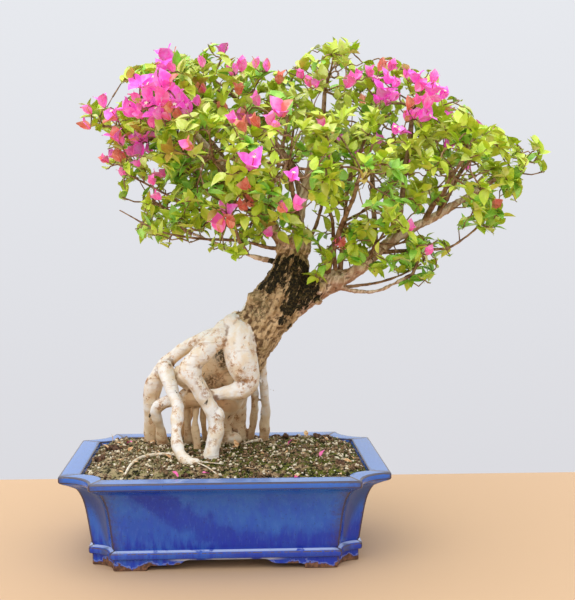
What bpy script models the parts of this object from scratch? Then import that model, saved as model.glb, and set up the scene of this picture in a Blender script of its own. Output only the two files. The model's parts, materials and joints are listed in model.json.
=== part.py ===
"""A bougainvillea bonsai on exposed roots in a blue glazed pot.

Everything is in metres with Z up. The parts are modelled round the middle of the pot, with the
table at height 0, and the last step moves them all so that the middle of the whole plant's
bounding box, seen from above, lies over the origin.
"""
from math import cos, pi, radians, sin, sqrt
import random

import bmesh
import bpy
from mathutils import Vector
from mathutils.bvhtree import BVHTree

# Pot
POT_WIDTH = 0.420
POT_DEPTH = 0.312
POT_HEIGHT = 0.122
RIM_BAND = 0.027
RIM_EDGE = 0.0075
RIM_NOTCH = 0.043
BODY_TOP = 0.1034
BODY_FOOT = 0.0285
BODY_TOP_INSET = 0.0205
BODY_SIDE_INSET = 0.0367
BODY_FRONT_INSET = 0.0430
BODY_SLOPE_SHARE = 0.62
BODY_FLARE_POWER = 6
BODY_FOOT_NOTCH = 0.0300
BODY_TOP_NOTCH = 0.0335
BELT_BOTTOM = 0.014
BELT_TOP = 0.0245
BELT_OUT = 0.0028
FOOT_SET_BACK = 0.001
FOOT_WALL = 0.014
FOOT_RECESS = 0.0136
FOOT_GAP_HEIGHT = 0.0130
FOOT_APRON_HEIGHT = 0.0070
FRONT_GAP_HALF = 0.055
FRONT_APRON_HALF = 0.100
SIDE_GAP_HALF = 0.030
SIDE_APRON_HALF = 0.058
POT_WALL = 0.010
POT_FLOOR_TOP = 0.024
NOTCH_STEPS = 3

# Soil
CLEARANCE = 0.0003
CUT_CLEARANCE = CLEARANCE * 1.3
SOIL_TOP = 0.1260
SOIL_EDGE = 0.1165
SOIL_SLOPE = 0.040
SOIL_RINGS = 5

# Wood
TRUNK_SIDES = 12
ROOT_SIDES = 8
BOUGH_SIDES = 7
BRANCH_SIDES = 5
ROOT_FOOT_DEPTH = 0.010
TRUNK_STEP = 0.018
ROOT_STEP = 0.018
BOUGH_STEP = 0.032

# Foliage
LEAF_LENGTH = 0.043
LEAF_WIDTH = 0.026
LEAF_THICKNESS = 0.0016
BRACT_LENGTH = 0.032
BRACT_WIDTH = 0.027
LEAF_REACH = 0.66
LEAF_PLACES = ((1.0, 0), (0.75, 1), (0.50, 2), (0.30, 0), (0.9, 2), (0.62, 0))
TWIG_RADIUS = 0.0012
TWIG_TAPER = 0.8
TWIG_ENDS = 10
TWIG_INNER_SHARE = 0.7
KNOTS_TRIED = 5
STEM_STRAIGHT = 0.010
STEM_SIDES = 4
LEAF_WIDEST_AT = 0.42
LEAF_SUNK_SHARE = 0.2
LEAF_WANDER = 0.35
LEAF_TILT_WANDER = 0.9
LEAVES_PER_MASS = 18
CELL_MARGIN = 0.05
LIMB_CLEARANCE = 0.0015
SEED = 27


class Sample:
    """One ring of a limb: its centre and its radius."""

    def __init__(self, centre, radius):
        self.centre = Vector(centre)
        self.radius = radius


class Limb:
    """A limb that is already there: its samples, its sides and its skin, to keep clear of."""

    def __init__(self, samples, sides):
        self.samples = samples
        self.sides = sides
        rings = swept_rings(samples, sides, grow=LIMB_CLEARANCE)
        corners = [point for ring in rings for point in ring]
        faces = []
        for ring in range(len(rings) - 1):
            for side in range(sides):
                low, after = ring * sides + side, ring * sides + (side + 1) % sides
                faces.append((low, after, after + sides, low + sides))
        self.skin = BVHTree.FromPolygons(corners, faces)


def clear_scene():
    """Remove the objects that a new file starts with."""
    for item in list(bpy.data.objects):
        bpy.data.objects.remove(item, do_unlink=True)


def make_material(name, colour, roughness, metallic=0.0):
    """A Principled BSDF in one colour."""
    material = bpy.data.materials.new(name)
    material.use_nodes = True
    shader = material.node_tree.nodes["Principled BSDF"]
    shader.inputs["Base Color"].default_value = (*colour, 1.0)
    shader.inputs["Roughness"].default_value = roughness
    shader.inputs["Metallic"].default_value = metallic
    material.diffuse_color = (*colour, 1.0)
    return material


def add_object(name, bm, material=None, smooth_angle=None):
    """Turn a bmesh into an object of the scene."""
    bmesh.ops.recalc_face_normals(bm, faces=bm.faces)
    mesh = bpy.data.meshes.new(name)
    bm.to_mesh(mesh)
    bm.free()
    item = bpy.data.objects.new(name, mesh)
    bpy.context.scene.collection.objects.link(item)
    if material:
        mesh.materials.append(material)
    if smooth_angle is not None:
        mesh.shade_smooth()
        mesh.set_sharp_from_angle(angle=radians(smooth_angle))
    return item


def apply_modifiers(item):
    """Put the result of an object's modifiers in its mesh."""
    depsgraph = bpy.context.evaluated_depsgraph_get()
    mesh = bpy.data.meshes.new_from_object(item.evaluated_get(depsgraph))
    item.modifiers.clear()
    item.data = mesh


def keep_largest_shell(item):
    """Drop loose scraps and sealed hollows, which leaves one closed body."""
    bm = bmesh.new()
    bm.from_mesh(item.data)
    unseen = set(bm.verts)
    shells = []
    while unseen:
        edge_of_search = [unseen.pop()]
        shell = set(edge_of_search)
        while edge_of_search:
            vert = edge_of_search.pop()
            for edge in vert.link_edges:
                other = edge.other_vert(vert)
                if other in unseen:
                    unseen.discard(other)
                    shell.add(other)
                    edge_of_search.append(other)
        shells.append(shell)
    shells.sort(key=len, reverse=True)
    scraps = [vert for shell in shells[1:] for vert in shell]
    bmesh.ops.delete(bm, geom=scraps, context="VERTS")
    bm.to_mesh(item.data)
    bm.free()


def boolean(item, cutter, operation):
    """Join to an object, or cut from it, one other object."""
    modifier = item.modifiers.new("boolean", "BOOLEAN")
    modifier.operation = operation
    modifier.object = cutter
    modifier.solver = "EXACT"
    apply_modifiers(item)


def fuse(base, pieces, solver):
    """Join the pieces to the base with one union on a collection, and remove them."""
    group = bpy.data.collections.new(base.name + "_pieces")
    for piece in pieces:
        group.objects.link(piece)
    modifier = base.modifiers.new("union", "BOOLEAN")
    modifier.operation = "UNION"
    modifier.operand_type = "COLLECTION"
    modifier.collection = group
    modifier.solver = solver
    apply_modifiers(base)
    for piece in pieces:
        bpy.data.objects.remove(piece, do_unlink=True)
    bpy.data.collections.remove(group)
    keep_largest_shell(base)


def notched_outline(half_x, half_y, notch):
    """The corners of a rectangle whose four corners are cut by concave quarter circles."""
    points = []
    for sign_x, sign_y, start in ((1, 1, 270), (-1, 1, 0), (-1, -1, 90), (1, -1, 180)):
        for step in range(NOTCH_STEPS + 1):
            angle = radians(start - 90 * step / NOTCH_STEPS)
            points.append((sign_x * half_x + notch * cos(angle), sign_y * half_y + notch * sin(angle)))
    return points


def pot_ring(bm, inset, notch, height):
    """One level of the pot: its outline at a height, drawn in from the rim by an inset each way."""
    outline = notched_outline(POT_WIDTH / 2 - inset[0], POT_DEPTH / 2 - inset[1], notch)
    return [bm.verts.new((x, y, height)) for x, y in outline]


def bridge(bm, lower, upper):
    """Join two rings that have the same number of points with four-sided faces."""
    count = len(lower)
    for index in range(count):
        after = (index + 1) % count
        bm.faces.new((lower[index], lower[after], upper[after], upper[index]))


def flare_inset(height, extra=0.0):
    """How far the wall stands in from the rim: a slope that flares out quickly under the rim."""
    share = (height - BODY_FOOT) / (BODY_TOP - BODY_FOOT)
    out = BODY_SLOPE_SHARE * share + (1 - BODY_SLOPE_SHARE) * share ** BODY_FLARE_POWER
    side = BODY_SIDE_INSET - (BODY_SIDE_INSET - BODY_TOP_INSET) * out
    front = BODY_FRONT_INSET - (BODY_FRONT_INSET - BODY_TOP_INSET) * out
    return (side + extra, front + extra)


def flare_notch(height):
    """The corner notch's radius on the outer wall at a height."""
    share = (height - BODY_FOOT) / (BODY_TOP - BODY_FOOT)
    return BODY_FOOT_NOTCH + (BODY_TOP_NOTCH - BODY_FOOT_NOTCH) * share


def even(inset):
    """The same inset on the sides and the front."""
    return (inset, inset)


def foot_inset(extra=0.0):
    """The inset of the foot's outer face, with what it stands further in or out."""
    return (BODY_SIDE_INSET + FOOT_SET_BACK + extra, BODY_FRONT_INSET + FOOT_SET_BACK + extra)


def outer_levels():
    """The pot's outside from the foot to the rim, as insets, notch and height."""
    levels = [
        (foot_inset(), BODY_FOOT_NOTCH, 0.0),
        (foot_inset(), BODY_FOOT_NOTCH, BELT_BOTTOM - 0.001),
        (foot_inset(-BELT_OUT), BODY_FOOT_NOTCH, BELT_BOTTOM + 0.0015),
        (foot_inset(-BELT_OUT - 0.0008), BODY_FOOT_NOTCH, (BELT_BOTTOM + BELT_TOP) / 2),
        (foot_inset(-BELT_OUT), BODY_FOOT_NOTCH, BELT_TOP - 0.002),
        (flare_inset(BODY_FOOT), BODY_FOOT_NOTCH, BODY_FOOT),
    ]
    steps = 5
    for step in range(1, steps + 1):
        height = BODY_FOOT + (BODY_TOP - BODY_FOOT) * step / steps
        levels.append((flare_inset(height), flare_notch(height), height))
    rim_bottom = POT_HEIGHT - RIM_EDGE
    levels += [
        (even(0.0050), RIM_NOTCH - 0.004, rim_bottom - 0.0035),
        (even(0.0006), RIM_NOTCH, rim_bottom),
        (even(0.0), RIM_NOTCH, POT_HEIGHT - RIM_EDGE / 2),
        (even(0.0012), RIM_NOTCH, POT_HEIGHT - 0.0006),
        (even(0.0030), RIM_NOTCH - 0.001, POT_HEIGHT),
    ]
    return levels


def inner_levels():
    """The pot's inside from the rim's inner edge down to the floor."""
    levels = [
        (even(RIM_BAND - 0.001), RIM_NOTCH - 0.013, POT_HEIGHT),
        (even(RIM_BAND), RIM_NOTCH - 0.014, POT_HEIGHT - 0.002),
    ]
    for height in (0.100, 0.078, 0.052):
        levels.append((flare_inset(height, POT_WALL), flare_notch(height), height))
    levels.append((flare_inset(BODY_FOOT, POT_WALL), BODY_FOOT_NOTCH, POT_FLOOR_TOP + 0.008))
    levels.append((flare_inset(BODY_FOOT, POT_WALL + 0.006), BODY_FOOT_NOTCH, POT_FLOOR_TOP))
    return levels


def inner_at(height):
    """The insets and the corner notch of the pot's inside at a height."""
    levels = inner_levels()
    for upper, lower in zip(levels, levels[1:]):
        if lower[2] <= height <= upper[2]:
            share = (height - lower[2]) / (upper[2] - lower[2])
            inset = [low + (high - low) * share for low, high in zip(lower[0], upper[0])]
            return inset, lower[1] + (upper[1] - lower[1]) * share
    return levels[-1][:2]


def foot_gap_outline(gap_half, apron_half):
    """The side view of the space between two feet: flat over the gap, low over the aprons."""
    return [
        (-apron_half, -FOOT_APRON_HEIGHT),
        (-apron_half + 0.001, FOOT_APRON_HEIGHT * 0.5),
        (-apron_half + 0.006, FOOT_APRON_HEIGHT * 0.9),
        (-gap_half - 0.008, FOOT_APRON_HEIGHT),
        (-gap_half - 0.002, FOOT_APRON_HEIGHT + 0.001),
        (-gap_half + 0.002, FOOT_GAP_HEIGHT - 0.001),
        (-gap_half + 0.008, FOOT_GAP_HEIGHT),
        (gap_half - 0.008, FOOT_GAP_HEIGHT),
        (gap_half - 0.002, FOOT_GAP_HEIGHT - 0.001),
        (gap_half + 0.002, FOOT_APRON_HEIGHT + 0.001),
        (gap_half + 0.008, FOOT_APRON_HEIGHT),
        (apron_half - 0.006, FOOT_APRON_HEIGHT * 0.9),
        (apron_half - 0.001, FOOT_APRON_HEIGHT * 0.5),
        (apron_half, -FOOT_APRON_HEIGHT),
    ]


def foot_gap_cutter(name, gap_half, apron_half, along_y):
    """The space between two feet as a solid that runs right under the pot, to be cut away."""
    bm = bmesh.new()
    reach = POT_WIDTH
    near, far = [], []
    for across, height in foot_gap_outline(gap_half, apron_half):
        if along_y:
            near.append(bm.verts.new((across, -reach, height)))
            far.append(bm.verts.new((across, reach, height)))
        else:
            near.append(bm.verts.new((-reach, across, height)))
            far.append(bm.verts.new((reach, across, height)))
    bm.faces.new(near)
    bm.faces.new(far)
    bridge(bm, near, far)
    return add_object(name, bm)


def make_pot(material):
    """The glazed pot: an outer wall, a rim, a hollow inside and four cornered feet."""
    bm = bmesh.new()
    outer = [pot_ring(bm, *level) for level in outer_levels()]
    inner = [pot_ring(bm, *level) for level in inner_levels()]
    recess_low = pot_ring(bm, foot_inset(FOOT_WALL), BODY_FOOT_NOTCH, 0.0)
    recess_high = pot_ring(bm, foot_inset(FOOT_WALL), BODY_FOOT_NOTCH, FOOT_RECESS)
    rings = [recess_high, recess_low] + outer + inner
    for lower, upper in zip(rings, rings[1:]):
        bridge(bm, lower, upper)
    bm.faces.new(recess_high)
    bm.faces.new(inner[-1])
    pot = add_object("pot", bm, material)
    for name, gap, apron, along_y in (
        ("front_gap", FRONT_GAP_HALF, FRONT_APRON_HALF, True),
        ("side_gap", SIDE_GAP_HALF, SIDE_APRON_HALF, False),
    ):
        cutter = foot_gap_cutter(name, gap, apron, along_y)
        boolean(pot, cutter, "DIFFERENCE")
        bpy.data.objects.remove(cutter, do_unlink=True)
    pot.data.shade_smooth()
    pot.data.set_sharp_from_angle(angle=radians(35))
    return pot


def soil_height(x, y):
    """The soil's surface: level where the roots stand, and lower along the pot's walls."""
    to_side = POT_WIDTH / 2 - RIM_BAND - abs(x)
    to_front = POT_DEPTH / 2 - RIM_BAND - abs(y)
    share = min(max(min(to_side, to_front) / SOIL_SLOPE, 0.0), 1.0)
    eased = share * share * (3 - 2 * share)
    return SOIL_EDGE + (SOIL_TOP - SOIL_EDGE) * eased


def make_soil(material):
    """The root ball: it fills the pot with a small clearance, and its top is mounded."""
    bm = bmesh.new()
    rings = []
    heights = [POT_FLOOR_TOP] + [level[2] for level in reversed(inner_levels()[2:-1])] + [SOIL_EDGE]
    for height in heights:
        inset, notch = inner_at(height)
        inset = [value + CLEARANCE for value in inset]
        rings.append(pot_ring(bm, inset, notch, max(height, POT_FLOOR_TOP + CLEARANCE)))
    edge = [vert.co.copy() for vert in rings[-1]]
    for ring in range(1, SOIL_RINGS):
        share = 1 - ring / SOIL_RINGS
        points = [(co.x * share, co.y * share) for co in edge]
        rings.append([bm.verts.new((x, y, soil_height(x, y))) for x, y in points])
    for lower, upper in zip(rings, rings[1:]):
        bridge(bm, lower, upper)
    bm.faces.new(rings[0])
    bm.faces.new(rings[-1])
    return add_object("soil", bm, material, 40)


def curve_samples(controls, step):
    """Samples about a step apart on a smooth curve through points with radii."""
    points = [Vector(point) for point, radius in controls]
    radii = [radius for point, radius in controls]
    samples = []
    for index in range(len(points) - 1):
        before = points[max(index - 1, 0)]
        start, end = points[index], points[index + 1]
        after = points[min(index + 2, len(points) - 1)]
        count = max(1, round((end - start).length / step))
        for part in range(count):
            t = part / count
            tangent_in = (end - before) / 2
            tangent_out = (after - start) / 2
            centre = (
                start * (2 * t ** 3 - 3 * t ** 2 + 1)
                + tangent_in * (t ** 3 - 2 * t ** 2 + t)
                + end * (3 * t ** 2 - 2 * t ** 3)
                + tangent_out * (t ** 3 - t ** 2)
            )
            samples.append(Sample(centre, radii[index] * (1 - t) + radii[index + 1] * t))
    samples.append(Sample(points[-1], radii[-1]))
    return samples


def swept_rings(samples, sides, grow=0.0):
    """Rings of points round a limb, turned as little as possible, and moved out by grow."""
    rings = []
    normal = None
    last = len(samples) - 1
    for index, sample in enumerate(samples):
        ahead = samples[min(index + 1, last)].centre - samples[max(index - 1, 0)].centre
        direction = ahead.normalized()
        if normal is None:
            normal = direction.orthogonal().normalized()
        normal = (normal - direction * normal.dot(direction)).normalized()
        across = direction.cross(normal)
        outward = (index == last) - (index == 0)
        centre = sample.centre + direction * (outward * grow)
        radius = sample.radius + grow
        ring = []
        for side in range(sides):
            angle = 2 * pi * side / sides
            ring.append(centre + (normal * cos(angle) + across * sin(angle)) * radius)
        rings.append(ring)
    return rings


def add_limb(name, samples, sides, material=None, grow=0.0):
    """A round tapering limb as a closed solid, made thicker by grow where it serves to cut."""
    bm = bmesh.new()
    rings = [[bm.verts.new(point) for point in ring] for ring in swept_rings(samples, sides, grow)]
    for lower, upper in zip(rings, rings[1:]):
        bridge(bm, lower, upper)
    bm.faces.new(rings[0])
    bm.faces.new(rings[-1])
    return add_object(name, bm, material, 50)


def cut_level(item, height):
    """Cut an object off flat at a height and close it there."""
    bm = bmesh.new()
    bm.from_mesh(item.data)
    geometry = bm.verts[:] + bm.edges[:] + bm.faces[:]
    cut = bmesh.ops.bisect_plane(
        bm, geom=geometry, plane_co=(0, 0, height), plane_no=(0, 0, 1), clear_inner=True
    )
    rim = [part for part in cut["geom_cut"] if isinstance(part, bmesh.types.BMEdge)]
    bmesh.ops.holes_fill(bm, edges=rim, sides=0)
    bmesh.ops.recalc_face_normals(bm, faces=bm.faces)
    bm.to_mesh(item.data)
    bm.free()


def foot(x, y):
    """A point in the soil below a root's foot, which the level cut then takes off."""
    return (x, y, SOIL_TOP - ROOT_FOOT_DEPTH)


# The trunk's five stretches, each a list of points with the radius there
TRUNK_STRETCHES = {
    "leader": [
        ((0.030, 0.042, 0.240), 0.022),
        ((0.042, 0.032, 0.285), 0.034),
        ((0.061, 0.025, 0.320), 0.0345),
        ((0.080, 0.020, 0.349), 0.0310),
        ((0.090, 0.020, 0.378), 0.0255),
        ((0.092, 0.020, 0.405), 0.0195),
        ((0.094, 0.021, 0.420), 0.0130),
    ],
    "shoulder": [
        ((0.066, 0.023, 0.312), 0.0290),
        ((0.101, 0.020, 0.338), 0.0240),
        ((0.136, 0.015, 0.356), 0.0185),
        ((0.155, 0.012, 0.361), 0.0155),
    ],
    "thigh": [
        ((0.024, 0.024, 0.306), 0.0200),
        ((0.018, 0.008, 0.278), 0.0245),
        ((0.021, -0.001, 0.248), 0.0225),
        ((0.030, -0.001, 0.218), 0.0160),
    ],
    "shin": [
        ((0.028, 0.010, 0.220), 0.0155),
        ((0.013, 0.030, 0.196), 0.0120),
        ((-0.001, 0.048, 0.166), 0.0110),
        (foot(-0.004, 0.066), 0.0135),
    ],
    "back_leg": [
        ((0.028, 0.045, 0.240), 0.0180),
        ((0.018, 0.064, 0.190), 0.0120),
        (foot(0.016, 0.090), 0.0135),
    ],
    "inner_mass": [
        ((0.022, 0.042, 0.268), 0.0220),
        ((-0.014, 0.042, 0.240), 0.0240),
        ((-0.045, 0.040, 0.226), 0.0205),
        ((-0.071, 0.038, 0.227), 0.0130),
    ],
}

# The exposed roots. Each starts inside what carries it and is then cut clear of it.
ROOTS = {
    "root_left_arch": [
        ((0.006, 0.034, 0.292), 0.0140),
        ((-0.034, 0.036, 0.277), 0.0095),
        ((-0.064, 0.044, 0.259), 0.0092),
        ((-0.088, 0.053, 0.235), 0.0112),
        ((-0.104, 0.062, 0.201), 0.0122),
        (foot(-0.108, 0.082), 0.0092),
    ],
    "root_elbow": [
        ((0.003, 0.016, 0.297), 0.0140),
        ((-0.023, -0.006, 0.271), 0.0138),
        ((-0.049, -0.015, 0.244), 0.0135),
        ((-0.041, -0.016, 0.226), 0.0115),
        ((-0.022, -0.016, 0.198), 0.0108),
        ((-0.014, -0.017, 0.170), 0.0095),
        (foot(-0.023, -0.032), 0.0118),
    ],
    "root_front_left": [
        ((-0.086, 0.040, 0.243), 0.0110),
        ((-0.077, 0.012, 0.218), 0.0104),
        ((-0.066, -0.008, 0.193), 0.0088),
        ((-0.066, -0.030, 0.161), 0.0068),
        ((-0.061, -0.048, 0.138), 0.0080),
        (foot(-0.050, -0.060), 0.0080),
    ],
    "root_cross": [
        ((0.026, 0.002, 0.216), 0.0090),
        ((-0.002, -0.003, 0.214), 0.0075),
        ((-0.026, -0.010, 0.212), 0.0070),
    ],
    "root_hook": [
        ((-0.006, 0.044, 0.188), 0.0110),
        ((-0.028, 0.038, 0.194), 0.0125),
        ((-0.054, 0.037, 0.193), 0.0120),
        ((-0.084, 0.038, 0.189), 0.0085),
        ((-0.098, 0.040, 0.177), 0.0077),
        ((-0.093, 0.048, 0.151), 0.0078),
        (foot(-0.091, 0.062), 0.0080),
    ],
    "root_slim": [
        ((0.045, 0.034, 0.268), 0.0110),
        ((0.051, 0.040, 0.228), 0.0072),
        ((0.055, 0.055, 0.188), 0.0064),
        (foot(0.055, 0.082), 0.0075),
    ],
    "root_rough": [
        ((0.030, 0.046, 0.232), 0.0070),
        ((0.041, 0.060, 0.190), 0.0057),
        (foot(0.034, 0.092), 0.0055),
    ],
    "root_bulb": [
        ((-0.054, 0.040, 0.192), 0.0055),
        ((-0.055, 0.055, 0.152), 0.0060),
        (foot(-0.052, 0.070), 0.0090),
    ],
    "root_inner": [
        ((-0.033, 0.042, 0.194), 0.0052),
        ((-0.033, 0.060, 0.160), 0.0043),
        (foot(-0.030, 0.084), 0.0050),
    ],
}
ROOT_CARRIERS = {
    "root_left_arch": ("trunk",),
    "root_elbow": ("trunk", "root_left_arch"),
    "root_front_left": ("root_left_arch",),
    "root_cross": ("trunk", "root_elbow"),
    "root_hook": ("trunk",),
    "root_slim": ("trunk",),
    "root_rough": ("trunk",),
    "root_bulb": ("root_hook",),
    "root_inner": ("root_hook",),
}

# The main boughs, from where they leave their carrier to where they enter their mass
MAIN_BOUGHS = {
    "bough_right": [
        ((0.150, 0.012, 0.360), 0.0140),
        ((0.184, 0.008, 0.366), 0.0115),
        ((0.213, 0.005, 0.400), 0.0098),
        ((0.273, 0.010, 0.446), 0.0068),
        ((0.348, 0.015, 0.484), 0.0042),
    ],
    "bough_left": [
        ((0.086, 0.020, 0.398), 0.0100),
        ((0.050, 0.004, 0.452), 0.0076),
        ((0.000, -0.028, 0.510), 0.0056),
        ((-0.040, -0.050, 0.556), 0.0040),
    ],
    "bough_top": [
        ((0.095, 0.020, 0.400), 0.0095),
        ((0.104, 0.014, 0.462), 0.0074),
        ((0.120, 0.018, 0.530), 0.0054),
        ((0.131, 0.020, 0.572), 0.0042),
    ],
    "bough_low_left": [
        ((0.080, 0.018, 0.382), 0.0050),
        ((0.024, 0.006, 0.397), 0.0040),
        ((-0.044, 0.004, 0.424), 0.0030),
    ],
    "bough_low_right": [
        ((0.140, 0.006, 0.354), 0.0040),
        ((0.176, -0.002, 0.346), 0.0036),
        ((0.208, -0.004, 0.347), 0.0032),
        ((0.244, -0.006, 0.364), 0.0026),
    ],
}

# The crown's masses: the middle and the half sizes of the space that each keeps to
MASSES = {
    "right_tip": ((0.403, 0.020, 0.511), (0.057, 0.080, 0.056)),
    "left_front": ((-0.084, -0.065, 0.600), (0.058, 0.090, 0.058)),
    "top_middle": ((0.138, 0.020, 0.633), (0.078, 0.105, 0.068)),
    "left_low": ((-0.098, 0.010, 0.468), (0.066, 0.095, 0.072)),
    "right_low": ((0.278, -0.005, 0.410), (0.060, 0.085, 0.062)),
    "left_tip": ((-0.148, 0.030, 0.568), (0.054, 0.090, 0.060)),
    "left_back": ((-0.086, 0.115, 0.618), (0.066, 0.090, 0.066)),
    "inner_front": ((-0.021, -0.095, 0.522), (0.064, 0.095, 0.070)),
    "inner_back": ((-0.033, 0.145, 0.539), (0.074, 0.100, 0.084)),
    "centre_low": ((0.006, -0.020, 0.442), (0.062, 0.095, 0.054)),
    "top_left": ((0.003, 0.030, 0.618), (0.072, 0.100, 0.064)),
    "middle_front": ((0.077, -0.115, 0.512), (0.066, 0.095, 0.080)),
    "middle_back": ((0.094, 0.150, 0.545), (0.080, 0.100, 0.095)),
    "right_centre_low": ((0.202, -0.045, 0.416), (0.052, 0.075, 0.050)),
    "right_inner_front": ((0.173, -0.105, 0.508), (0.064, 0.095, 0.074)),
    "right_inner_back": ((0.217, 0.145, 0.525), (0.076, 0.100, 0.094)),
    "top_right": ((0.256, 0.010, 0.600), (0.076, 0.105, 0.064)),
    "right_front": ((0.300, -0.065, 0.508), (0.066, 0.095, 0.070)),
    "right_back": ((0.333, 0.110, 0.530), (0.070, 0.095, 0.078)),
}
BOUGH_CARRIERS = {
    "bough_right": ("trunk",),
    "bough_left": ("trunk",),
    "bough_top": ("trunk", "bough_left"),
    "bough_low_left": ("trunk", "bough_left"),
    "bough_low_right": ("trunk", "bough_right"),
}
MASS_OF_BOUGH = {
    "bough_right": "right_tip",
    "bough_left": "left_front",
    "bough_top": "top_middle",
    "bough_low_left": "left_low",
    "bough_low_right": "right_low",
}

# The side branches: the bough each leaves, how far along it, and how far its bend is lifted
SIDE_BRANCHES = {
    "left_tip": ("bough_left", 0.66, 0.010),
    "left_back": ("bough_left", 0.50, 0.012),
    "inner_front": ("bough_left", 0.36, 0.006),
    "inner_back": ("bough_left", 0.22, 0.008),
    "centre_low": ("bough_low_left", 0.40, 0.002),
    "top_left": ("bough_top", 0.52, 0.006),
    "middle_front": ("bough_top", 0.20, 0.004),
    "middle_back": ("bough_top", 0.34, 0.008),
    "right_inner_front": ("trunk_shoulder", 0.80, 0.010),
    "right_inner_back": ("bough_right", 0.28, 0.010),
    "right_centre_low": ("bough_right", 0.20, 0.002),
    "top_right": ("bough_right", 0.44, 0.004),
    "right_front": ("bough_right", 0.62, 0.004),
    "right_back": ("bough_right", 0.72, 0.004),
}
# How far out in its mass a side branch ends, and how thick it starts and ends
BRANCH_ENTRY = 0.72
BRANCH_THICKEST = 0.0058
BRANCH_THINNEST = 0.0022
BRANCH_TAPER = 0.8
BRANCH_END_SHARE = 0.55

# How many twig ends of each mass carry three bracts
BLOOMS = {
    "left_front": 5, "left_tip": 4, "left_back": 3, "top_left": 4, "top_right": 5, "top_middle": 2,
    "middle_front": 2, "right_front": 2, "centre_low": 2, "right_low": 2, "inner_front": 2,
    "right_back": 2, "middle_back": 2, "right_inner_back": 2, "left_low": 1, "right_tip": 1,
}


def make_trunk(material):
    """The trunk: leader, shoulder and the thick legs that carry it, fused and cut off level."""
    pieces = []
    for name, controls in TRUNK_STRETCHES.items():
        pieces.append(add_limb(name, curve_samples(controls, TRUNK_STEP), TRUNK_SIDES))
    trunk = pieces[0]
    trunk.name = "trunk"
    fuse(trunk, pieces[1:], "EXACT")
    cut_level(trunk, SOIL_TOP + CLEARANCE)
    trunk.data.materials.append(material)
    trunk.data.shade_smooth()
    trunk.data.set_sharp_from_angle(angle=radians(50))
    return trunk


def trunk_cutters():
    """The trunk's stretches, each thicker by the clearance, to cut what starts in them."""
    cutters = []
    for name, controls in TRUNK_STRETCHES.items():
        samples = curve_samples(controls, TRUNK_STEP)
        cutters.append(add_limb("cut_" + name, samples, TRUNK_SIDES, grow=CUT_CLEARANCE))
    return cutters


def cut_clear(item, limbs, carriers):
    """Cut an object clear of the limbs that carry it, and keep its one body."""
    cutters = []
    for carrier in carriers:
        if carrier == "trunk":
            cutters += trunk_cutters()
        else:
            limb = limbs[carrier]
            cutters.append(add_limb("cut_" + carrier, limb.samples, limb.sides, grow=CUT_CLEARANCE))
    for cutter in cutters:
        boolean(item, cutter, "DIFFERENCE")
        bpy.data.objects.remove(cutter, do_unlink=True)
    keep_largest_shell(item)


def make_roots(material, limbs):
    """The exposed roots, each from what carries it down to a level foot on the soil."""
    for name, controls in ROOTS.items():
        samples = curve_samples(controls, ROOT_STEP)
        root = add_limb(name, samples, ROOT_SIDES, material)
        limbs[name] = Limb(samples, ROOT_SIDES)
        cut_clear(root, limbs, ROOT_CARRIERS[name])
        if samples[-1].centre.z < SOIL_TOP:
            cut_level(root, SOIL_TOP + CLEARANCE)


def along_curve(samples, share):
    """The sample nearest to a share of a limb's length."""
    lengths = [0.0]
    for before, after in zip(samples, samples[1:]):
        lengths.append(lengths[-1] + (after.centre - before.centre).length)
    wanted = share * lengths[-1]
    for index in range(1, len(samples)):
        if lengths[index] >= wanted:
            t = (wanted - lengths[index - 1]) / (lengths[index] - lengths[index - 1])
            before, after = samples[index - 1], samples[index]
            centre = before.centre.lerp(after.centre, t)
            return Sample(centre, before.radius * (1 - t) + after.radius * t)
    return samples[-1]


def branch_controls(parent, share, mass, lift):
    """A side branch from a place on its parent, over one bend, to where it enters its mass."""
    start = along_curve(parent, share)
    middle, half = (Vector(value) for value in MASSES[mass])
    to_middle = start.centre - middle
    scaled = Vector((to_middle.x / half.x, to_middle.y / half.y, to_middle.z / half.z))
    tip = middle + to_middle * (BRANCH_ENTRY / scaled.length)
    bend = start.centre.lerp(tip, 0.5) + Vector((0, 0, lift))
    first = min(start.radius * BRANCH_TAPER, BRANCH_THICKEST)
    last = max(first * BRANCH_END_SHARE, BRANCH_THINNEST)
    return [(start.centre, first), (bend, first * BRANCH_TAPER), (tip, last)]


def make_boughs(material, limbs):
    """The main boughs and the side branches that leave them."""
    tips = {}
    for name, controls in MAIN_BOUGHS.items():
        samples = curve_samples(controls, BOUGH_STEP)
        bough = add_limb(name, samples, BOUGH_SIDES, material)
        limbs[name] = Limb(samples, BOUGH_SIDES)
        cut_clear(bough, limbs, BOUGH_CARRIERS[name])
        tips[MASS_OF_BOUGH[name]] = samples
    for mass, (parent, share, lift) in SIDE_BRANCHES.items():
        name = "branch_" + mass
        controls = branch_controls(limbs[parent].samples, share, mass, lift)
        samples = curve_samples(controls, BOUGH_STEP)
        branch = add_limb(name, samples, BRANCH_SIDES, material)
        limbs[name] = Limb(samples, BRANCH_SIDES)
        cut_clear(branch, limbs, (parent, "trunk"))
        tips[mass] = samples
    return tips


def crown_share(point, mass):
    """How far a point lies from a mass's middle, as the square of a share of its half sizes."""
    middle, half = MASSES[mass]
    return sum(((point[axis] - middle[axis]) / half[axis]) ** 2 for axis in range(3))


def in_space(point, mass):
    """Whether a point keeps to its mass's own space, clear of every other mass."""
    own = crown_share(point, mass)
    if own > 1.0:
        return False
    return all(crown_share(point, other) > own + CELL_MARGIN for other in MASSES if other != mass)


def clear_of_limbs(point, limbs, extra):
    """Whether a point is clear of every limb by more than an extra distance."""
    for limb in limbs.values():
        for before, after in zip(limb.samples, limb.samples[1:]):
            stretch = after.centre - before.centre
            t = (point - before.centre).dot(stretch) / stretch.length_squared
            nearest = before.centre + stretch * min(max(t, 0.0), 1.0)
            if (point - nearest).length < max(before.radius, after.radius) + extra:
                return False
    return True


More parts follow.
